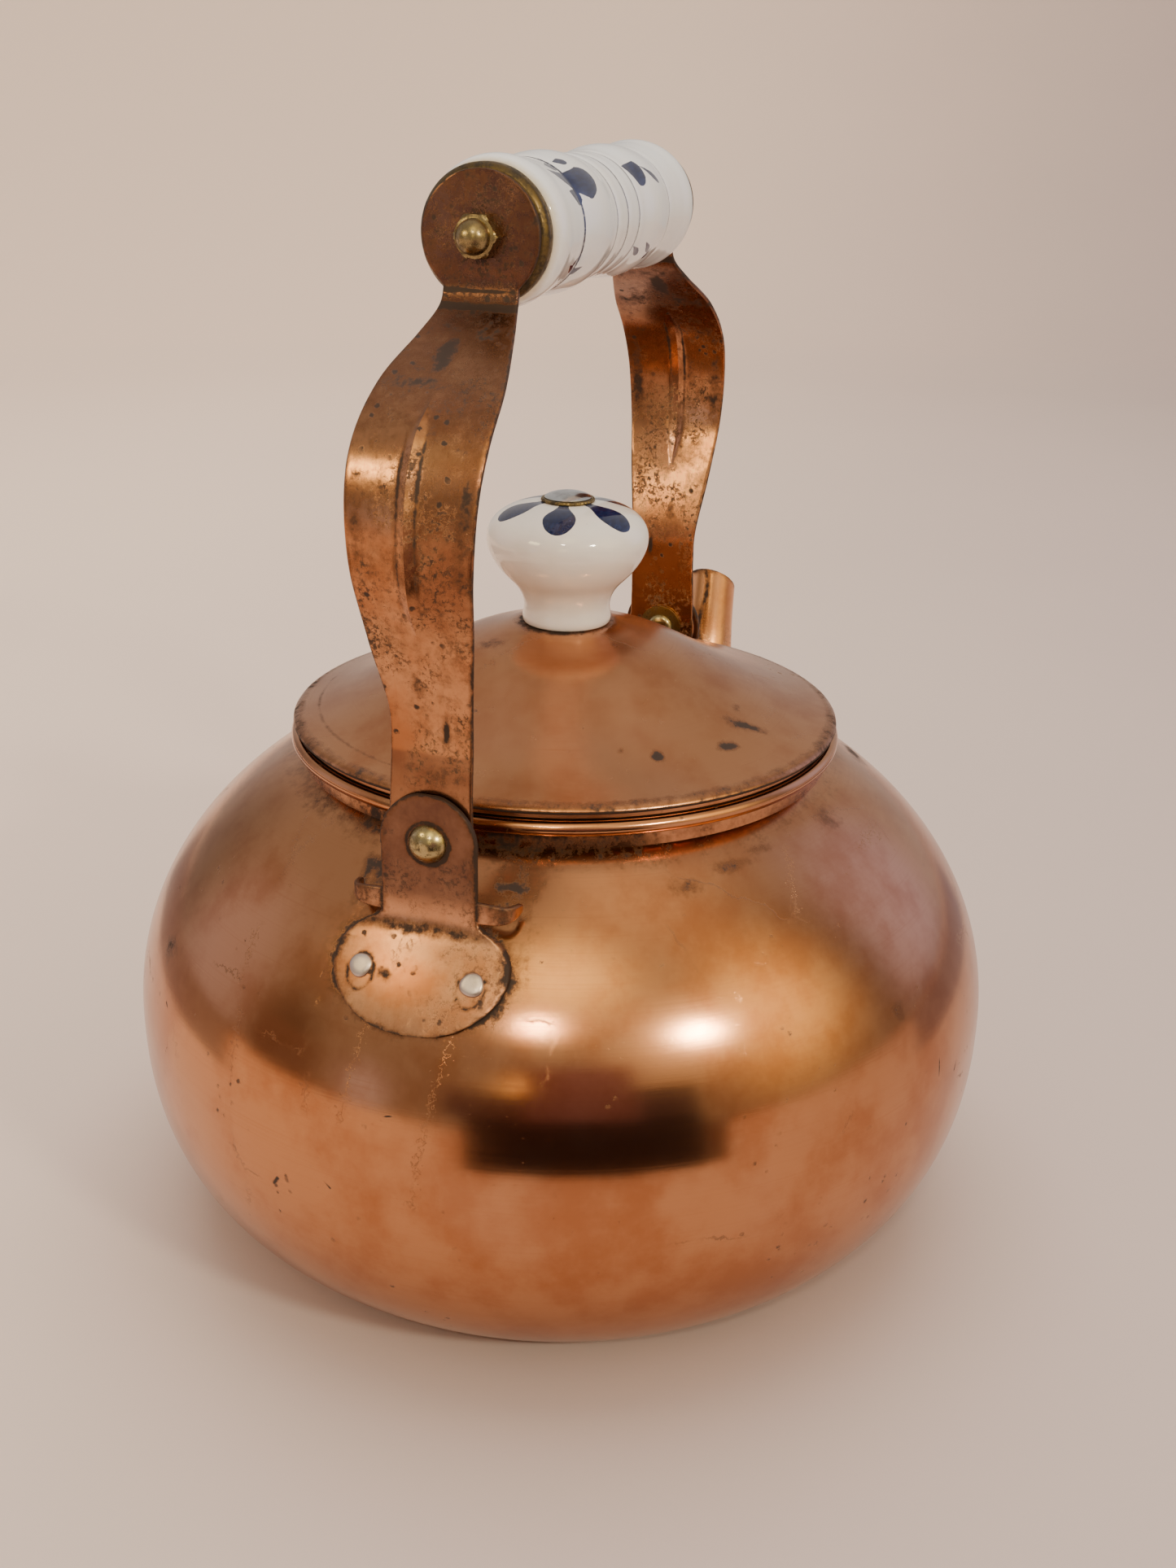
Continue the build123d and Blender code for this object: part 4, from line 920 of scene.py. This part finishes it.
for args in [(-31.5, -29.5, 1.9, 1.3, 20, 0.75), (-34.0, -23.0, 1.0, 0.7, 0, 0.55), (-10.5, -41.0, 5.0, 1.8, -65, 0.62), (-20.0, -40.0, 2.8, 1.5, -40, 0.60),
             (-6.0, -38.0, 2.2, 1.2, 0, 0.5), (-39.5, 15.5, 1.2, 0.7, 60, 0.55), (-13.5, 10.5, 3.0, 4.0, 0, 0.42), (-8.0, -13.0, 2.0, 1.0, 30, 0.35),
             (22.0, 30.0, 2.5, 1.4, 30, 0.5), (30.0, -18.0, 2.0, 1.4, 0, 0.45), (4.0, 42.0, 3.4, 1.3, 10, 0.5), (38.0, 10.0, 2.0, 1.0, 60, 0.5)]:
    tarnish_and_shade = np.maximum(tarnish_and_shade, at(*args))
arc_stain = np.exp(-((r - 50.6) / 0.5) ** 2) * np.clip(np.cos(np.radians(ang - 130)), 0, 1)
tarnish_and_shade = np.maximum(tarnish_and_shade, 0.40 * arc_stain)
# painted shade: the underside of the lid rim, over the gap above the bead, is darkened hard (0.80); the rest of the
# underside is set to 0.2
tarnish_and_shade = np.where((z < 108.75) & (r > 50), 0.80, tarnish_and_shade)
tarnish_and_shade = np.where((z < 108.75) & (r <= 50), 0.2, tarnish_and_shade)
copper_lid = copper("copper_spun_lid", rough=0.20, speck=0.9, tarnish_and_shade="tarnish_and_shade", wave=0.2, aniso=0.3, blotch=0.6)
link("lid_top", v, f, "lid", [copper_lid], ["lid_dome"], attrs={"tarnish_and_shade": tarnish_and_shade}, angle=45)
copper_inner = copper("copper_dull_inner", rough=0.36, speck=0.7, grain="turned", coat=0.0, base=(0.62, 0.30, 0.16), aniso=0.2)
prof = [(51.9, 98.5), (52.1, 98.35), (52.5, 98.35), (52.7, 98.5), (52.7, 107.1), (53.0, 107.1), (54.6, 107.1), (54.6, 107.9), (52.7, 107.9), (52.7, 109.2),
        (51.9, 109.2)]
v, f = revolve(prof, 256, closed=True)
link("lid_neck_collar", v, f, "lid", [copper_inner], ["lid_collar"], angle=35)

# ---------------------------------------------------------------------------
# Knob
# ---------------------------------------------------------------------------
ZT = 127.66
KNOB = [(9.0, 1.2), (8.75, 3.0), (9.0, 5.2), (10.35, 7.7), (12.75, 10.2), (14.75, 12.8), (15.95, 15.4), (16.25, 17.9), (15.4, 20.4),
        (13.0, 22.6), (9.0, 24.1), (5.2, 24.7)]
wall = spline(KNOB, 260, (0, 1), (-1, 0.08))
prof = [(2.7, 0.0), (7.6, 0.0), (8.3, 0.04), (8.7, 0.2), (8.93, 0.55)] + [tuple(p) for p in wall] + [(4.6, 24.72), (2.7, 24.7)]
prof = [(a, b + ZT) for a, b in prof]
v, f = revolve(prof, 420, closed=True)
r, z = np.hypot(v[:, 0], v[:, 1]), v[:, 2] - ZT
ang = np.degrees(np.arctan2(v[:, 1], v[:, 0]))
seglen = np.concatenate([[0], np.cumsum(np.linalg.norm(np.diff(wall[::-1], axis=0), axis=1))]) + 5.2
rho = np.interp(z, wall[:, 1], seglen[::-1])
rho = np.where(z > 24.69, r, rho)
off = (ang + 169.0 + 30.0) % 60.0 - 30.0
which = np.round((ang + 169.0) / 60.0) % 6
grow = 1 + 0.05 * np.sin(which * 2.1)
t = (rho - 5.3) / (10.3 * grow)
tt = np.clip(t, 0, 1)
petal = (1.0 + 2.25 * smoothstep(0.0, 0.62, tt)) * (tt < 0.62) + 3.25 * np.sqrt(np.maximum(1 - ((tt - 0.62) / 0.38) ** 2, 0)) * (tt >= 0.62)
mark = petal - np.abs(np.radians(off + 2.2 * np.sin(which * 1.7)) * r)
mark = np.where((t <= -0.02) | (t >= 1.0), -1.5, mark)
mark = np.where(z < 12, -2.0, mark)
stem = 0.22 - np.abs(np.radians(off) * r)
mark = np.where((rho > 5.3) & (rho < 7.6) & (z > 22), np.maximum(mark, stem), mark)
thin = smoothstep(0.26, 0.05, t)
porcelain_knob = porcelain("porcelain_knob", "mark", white_a=(0.84, 0.80, 0.72), white_b=(0.86, 0.82, 0.75))
link("lid_knob", v, f, "lid", [porcelain_knob], ["knob"], attrs={"mark": mark, "mark_thin": thin}, angle=50)

bezel_metal = brass("dark_bezel", (0.24, 0.17, 0.07), (0.05, 0.035, 0.018), 0.34, 0.5)
zt = ZT + 24.7
prof = [(2.2, zt + 0.02), (5.2, zt + 0.02), (5.36, zt + 0.2), (5.34, zt + 0.45), (5.15, zt + 0.68), (4.9, zt + 0.72), (4.6, zt + 0.6), (2.2, zt + 0.45)]


def beaded(r, a, th):
    return r + (0.05 * np.cos(40 * th) if r > 5.0 else 0.0)


v, f = revolve(prof, 320, closed=True, shape=beaded)
link("knob_ring", v, f, "lid", [bezel_metal], ["knob_bezel"], angle=50)
nickel = plain_metal("nickel_screw", (0.62, 0.64, 0.66), (0.40, 0.40, 0.40), 0.16, 0.6)
prof = [(0.0, ZT - 6.6), (1.7, ZT - 6.6), (2.0, ZT - 6.2), (2.0, zt + 0.5), (4.4, zt + 0.66), (4.66, zt + 0.74), (4.7, zt + 0.86), (4.5, zt + 1.05),
        (3.9, zt + 1.33), (3.0, zt + 1.62), (2.0, zt + 1.84), (1.0, zt + 1.96), (0.0, zt + 2.0)]
v, f = revolve(prof, 128)
link("knob_bolt", v, f, "lid", [nickel], ["knob_screw"], angle=40)

# small CAD pieces that stay as they are
steel = plain_metal("zinc_steel", (0.50, 0.50, 0.50), (0.28, 0.27, 0.26), 0.32)
washer_metal = brass("aged_brass_washer", (0.36, 0.26, 0.10), (0.08, 0.055, 0.022), 0.30, 0.5)
for name, mat in (("tie_rod", steel), ("knob_washer", steel), ("knob_nut", steel),
                  ("rear_pivot_washer", washer_metal), ("front_pivot_washer", washer_metal)):
    o = NODES[name]
    o.data.materials.clear()
    o.data.materials.append(mat)

# ---------------------------------------------------------------------------
# Floor, light and camera
# ---------------------------------------------------------------------------
m = Mat("paper_with_painted_falloff")
x, y, z = m.xyz(m.mm)
broad = m.noise(m.mm, 0.004, 3.0, 0.5)
cloth = m.noise(m.mm, 0.35, 4.0, 0.6)
# painted light: the paper is darker towards -y and brighter towards +y, standing in for the light falling off across
# the table and backdrop
side = m.ramp(m.math("ADD", y, m.math("MULTIPLY", broad, 90.0)), -260.0, 640.0)
col = m.mix(side, (0.51, 0.415, 0.39), (0.93, 0.76, 0.62))
paper = m.done(Base_Color=col, Roughness=0.75, Normal=m.bump(m.math("ADD", cloth, m.math("MULTIPLY", broad, 4.0)), 0.3, 0.15))
me = bpy.data.meshes.new("floor")
S = 1.2
me.from_pydata([(-S, -S, -0.0002), (S, -S, -0.0002), (S, S, -0.0002), (-S, S, -0.0002)], [], [[0, 1, 2, 3]])
me.materials.append(paper)
floor = bpy.data.objects.new("floor", me)
bpy.context.scene.collection.objects.link(floor)

world = bpy.data.worlds.new("studio")
bpy.context.scene.world = world
world.use_nodes = True
bg = world.node_tree.nodes["Background"]
bg.inputs[0].default_value = (1.0, 0.93, 0.87, 1.0)
bg.inputs[1].default_value = 0.92

AIM = Vector((-0.055, -0.035, 0.075))


def lamp(name, az, el, dist, sx, sy, radiance, colour, specular=1.0, shape="RECTANGLE"):
    a, e = math.radians(az), math.radians(el)
    d = Vector((math.cos(e) * math.cos(a), math.cos(e) * math.sin(a), math.sin(e)))
    data = bpy.data.lights.new(name, "AREA")
    data.shape = shape
    data.size, data.size_y = sx, sy
    area = sx * sy * (math.pi / 4 if shape == "ELLIPSE" else 1.0)
    data.energy = radiance * math.pi * area
    data.color = colour
    data.specular_factor = specular
    o = bpy.data.objects.new(name, data)
    o.location = AIM + d * dist
    o.rotation_mode = "QUATERNION"
    o.rotation_quaternion = d.to_track_quat("Z", "Y")
    o.visible_camera = False
    bpy.context.scene.collection.objects.link(o)
    return o


lamp("overhead", 20, 74, 1.5, 1.4, 1.4, 2.9, (1.0, 0.93, 0.86), 0.0)
lamp("key_right", -121, 31, 1.1, 0.15, 0.085, 170.0, (1.0, 0.90, 0.68), shape="ELLIPSE")
lamp("key_left", -169, 39, 1.1, 0.10, 0.045, 170.0, (1.0, 0.88, 0.66), shape="ELLIPSE")


def only_in_reflections(o):
    o.visible_camera = False
    o.visible_diffuse = False
    o.visible_shadow = False
    o.visible_transmission = False


def emitter(name):
    m = bpy.data.materials.new(name)
    m.use_nodes = True
    t = m.node_tree
    t.nodes.clear()
    out = t.nodes.new("ShaderNodeOutputMaterial")
    e = t.nodes.new("ShaderNodeEmission")
    a = t.nodes.new("ShaderNodeAttribute")
    a.attribute_name = "rad"
    t.links.new(a.outputs["Color"], e.inputs[0])
    t.links.new(e.outputs[0], out.inputs[0])
    return m


SOFT_GLOW = emitter("soft_glow")


def shell(name, az, el, dist, radiance, centre=(0, 0, 0)):
    """A glowing skin seen only in reflections. az, el and dist are grids, radiance a grid of colours."""
    a, e = np.radians(az), np.radians(el)
    vs = np.stack([dist * np.cos(e) * np.cos(a) + centre[0], dist * np.cos(e) * np.sin(a) + centre[1], dist * np.sin(e) + centre[2]], -1)
    rows, cols = az.shape
    fs = [[i * cols + j, i * cols + j + 1, (i + 1) * cols + j + 1, (i + 1) * cols + j] for i in range(rows - 1) for j in range(cols - 1)]
    me = bpy.data.meshes.new(name)
    me.from_pydata(vs.reshape(-1, 3).tolist(), [], fs)
    me.materials.append(SOFT_GLOW)
    at_ = me.attributes.new("rad", "FLOAT_COLOR", "POINT")
    at_.data.foreach_set("color", np.concatenate([radiance.reshape(-1, 3), np.ones((rows * cols, 1))], 1).astype(np.float32).ravel())
    o = bpy.data.objects.new(name, me)
    bpy.context.scene.collection.objects.link(o)
    only_in_reflections(o)
    return o


def blob(az, el, az0, el0, sa, se, power=2.0):
    d = (((az - az0 + 180) % 360 - 180) / sa) ** 2 + ((el - el0) / se) ** 2
    return np.exp(-(d ** (power / 2)))[..., None]


azg, elg = np.meshgrid(np.linspace(-180, 180, 181), np.linspace(-12, 90, 90))
up = smoothstep(4, 40, elg)[..., None]
rad = (1 - up) * np.array([0.42, 0.35, 0.29]) + up * np.array([0.50, 0.45, 0.40])
lid_dim = 1 - 0.35 * blob(azg, elg, 16, 68, 22, 12, 3)
rad = rad * lid_dim
back = blob(azg, elg, 15, 5, 75, 40, 4)
rad = rad * (1 - back) + back * np.array([0.62, 0.56, 0.51])
rad = rad + blob(azg, elg, -47, 22, 19, 24, 3.5) * np.array([0.26, 0.33, 0.80])
rad = rad + blob(azg, elg, 98, 16, 17, 22, 3.5) * np.array([0.22, 0.22, 0.36])
rad = rad + blob(azg, elg, 151, 6, 5, 9, 3) * np.array([0.50, 0.60, 0.95])
rad = rad + blob(azg, elg, -99, 30, 18, 22, 2.5) * np.array([2.0, 1.55, 0.45])
rad = rad + blob(azg, elg, -128, 33, 17, 12, 2.0) * np.array([1.3, 1.0, 0.50])
rad = rad + blob(azg, elg, -163, 55, 24, 13, 2.5) * np.array([2.7, 2.3, 0.9])
rad = rad + blob(azg, elg, -110, 74, 60, 20, 2.5) * np.array([0.60, 0.44, 0.20])
rad = rad + blob(azg, elg, -167, 18, 6, 5, 2.5) * np.array([3.6, 2.9, 1.1])
dim = 1 - 0.45 * blob(azg, elg, 66, 8, 14, 20, 3) - 0.35 * blob(azg, elg, -68, 22, 7, 24, 3) - 0.5 * blob(azg, elg, 128, 10, 10, 16, 3) - 0.45 * blob(azg, elg, -52, -4, 24, 7, 3)
rad = rad * dim
shell("reflected_room", azg, elg, np.full(azg.shape, 1.25), rad)


def band(name, az0, az1, radius, z0, z1, low, high, soft=6.0):
    """Upright band of the dark room in front of the table, seen only in reflections."""
    n, k = 49, 10
    az = np.tile(np.linspace(az0, az1, n), (k, 1))
    z = np.tile(np.linspace(z0, z1, k)[:, None], (1, n))
    t = ((z - z0) / (z1 - z0))[..., None]
    colour = (1 - t) * np.array(low) + t * np.array(high)
    return shell(name, az, np.degrees(np.arctan2(z, radius)), np.hypot(z, radius), colour)


band("flag_core", -179, -133, 0.235, 0.0, 0.072, (0.020, 0.014, 0.018), (0.034, 0.022, 0.028))
band("flag_shoulder_right", -133, -127, 0.240, 0.0, 0.062, (0.16, 0.11, 0.08), (0.24, 0.17, 0.13))
band("flag_head_left", -184, -168, 0.245, 0.072, 0.108, (0.10, 0.06, 0.07), (0.22, 0.15, 0.14))
band("flag_head_right", -145, -133, 0.245, 0.072, 0.112, (0.05, 0.03, 0.04), (0.14, 0.09, 0.09))
band("flag_middle", -168, -145, 0.247, 0.072, 0.150, (0.20, 0.11, 0.13), (0.36, 0.20, 0.22))
band("flag_left", 128, 147, 0.25, 0.055, 0.11, (0.24, 0.17, 0.14), (0.34, 0.26, 0.21))
band("flag_side_left", 62, 120, 0.30, 0.0, 0.062, (0.50, 0.39, 0.34), (0.40, 0.30, 0.26))
band("flag_side_right", -72, -28, 0.30, 0.0, 0.052, (0.44, 0.36, 0.37), (0.36, 0.29, 0.32))

# small warm card beside the handle, whose glow lies on the strap's left half
card_az, card_el = np.meshgrid(np.linspace(128, 152, 9), np.linspace(21, 36, 7))
fall = np.clip(1.25 - np.abs(card_el - 28.5) / 8.0, 0.15, 1)[..., None]
shell("strap_glint", card_az, card_el, np.full(card_az.shape, 0.22), fall * np.array([13.0, 10.5, 5.2]), (-0.0739, 0.0056, 0.1728))

# pale backdrop that curves up far behind and all round
prof_d = [(1.15, 0.0)] + [(1.15 + 0.75 * math.sin(a), 0.75 - 0.75 * math.cos(a)) for a in np.linspace(0.05, math.pi / 2, 24)] + [(1.9, 1.7)]
dv, df = [], []
for i, (rr, zz) in enumerate(prof_d):
    for j in range(96):
        t = j / 96 * TAU
        dv.append((rr * math.cos(t), rr * math.sin(t), zz - 0.0002))
for i in range(len(prof_d) - 1):
    for j in range(96):
        k = (j + 1) % 96
        df.append([i * 96 + j, i * 96 + k, (i + 1) * 96 + k, (i + 1) * 96 + j])
me = bpy.data.meshes.new("sweep")
me.from_pydata(dv, [], df)
me.materials.append(paper)
me.shade_smooth()
sweep = bpy.data.objects.new("sweep", me)
bpy.context.scene.collection.objects.link(sweep)

cam_data = bpy.data.cameras.new("camera")
cam_data.sensor_width = 36.0
cam_data.sensor_fit = "AUTO"
cam_data.lens = 40.2
cam_data.clip_start = 0.01
cam_data.clip_end = 60
cam = bpy.data.objects.new("camera", cam_data)
bpy.context.scene.collection.objects.link(cam)
F = Vector((0.87692618, 0.29744824, -0.37752485))
RT = Vector((0.3272925, -0.94479007, 0.01585383))
UP = Vector((0.35196603, 0.13746369, 0.92586373))
cam.matrix_world = Matrix((
    (RT.x, UP.x, -F.x, -0.323589),
    (RT.y, UP.y, -F.y, -0.114971),
    (RT.z, UP.z, -F.z, 0.231610),
    (0, 0, 0, 1),
))
bpy.context.scene.camera = cam
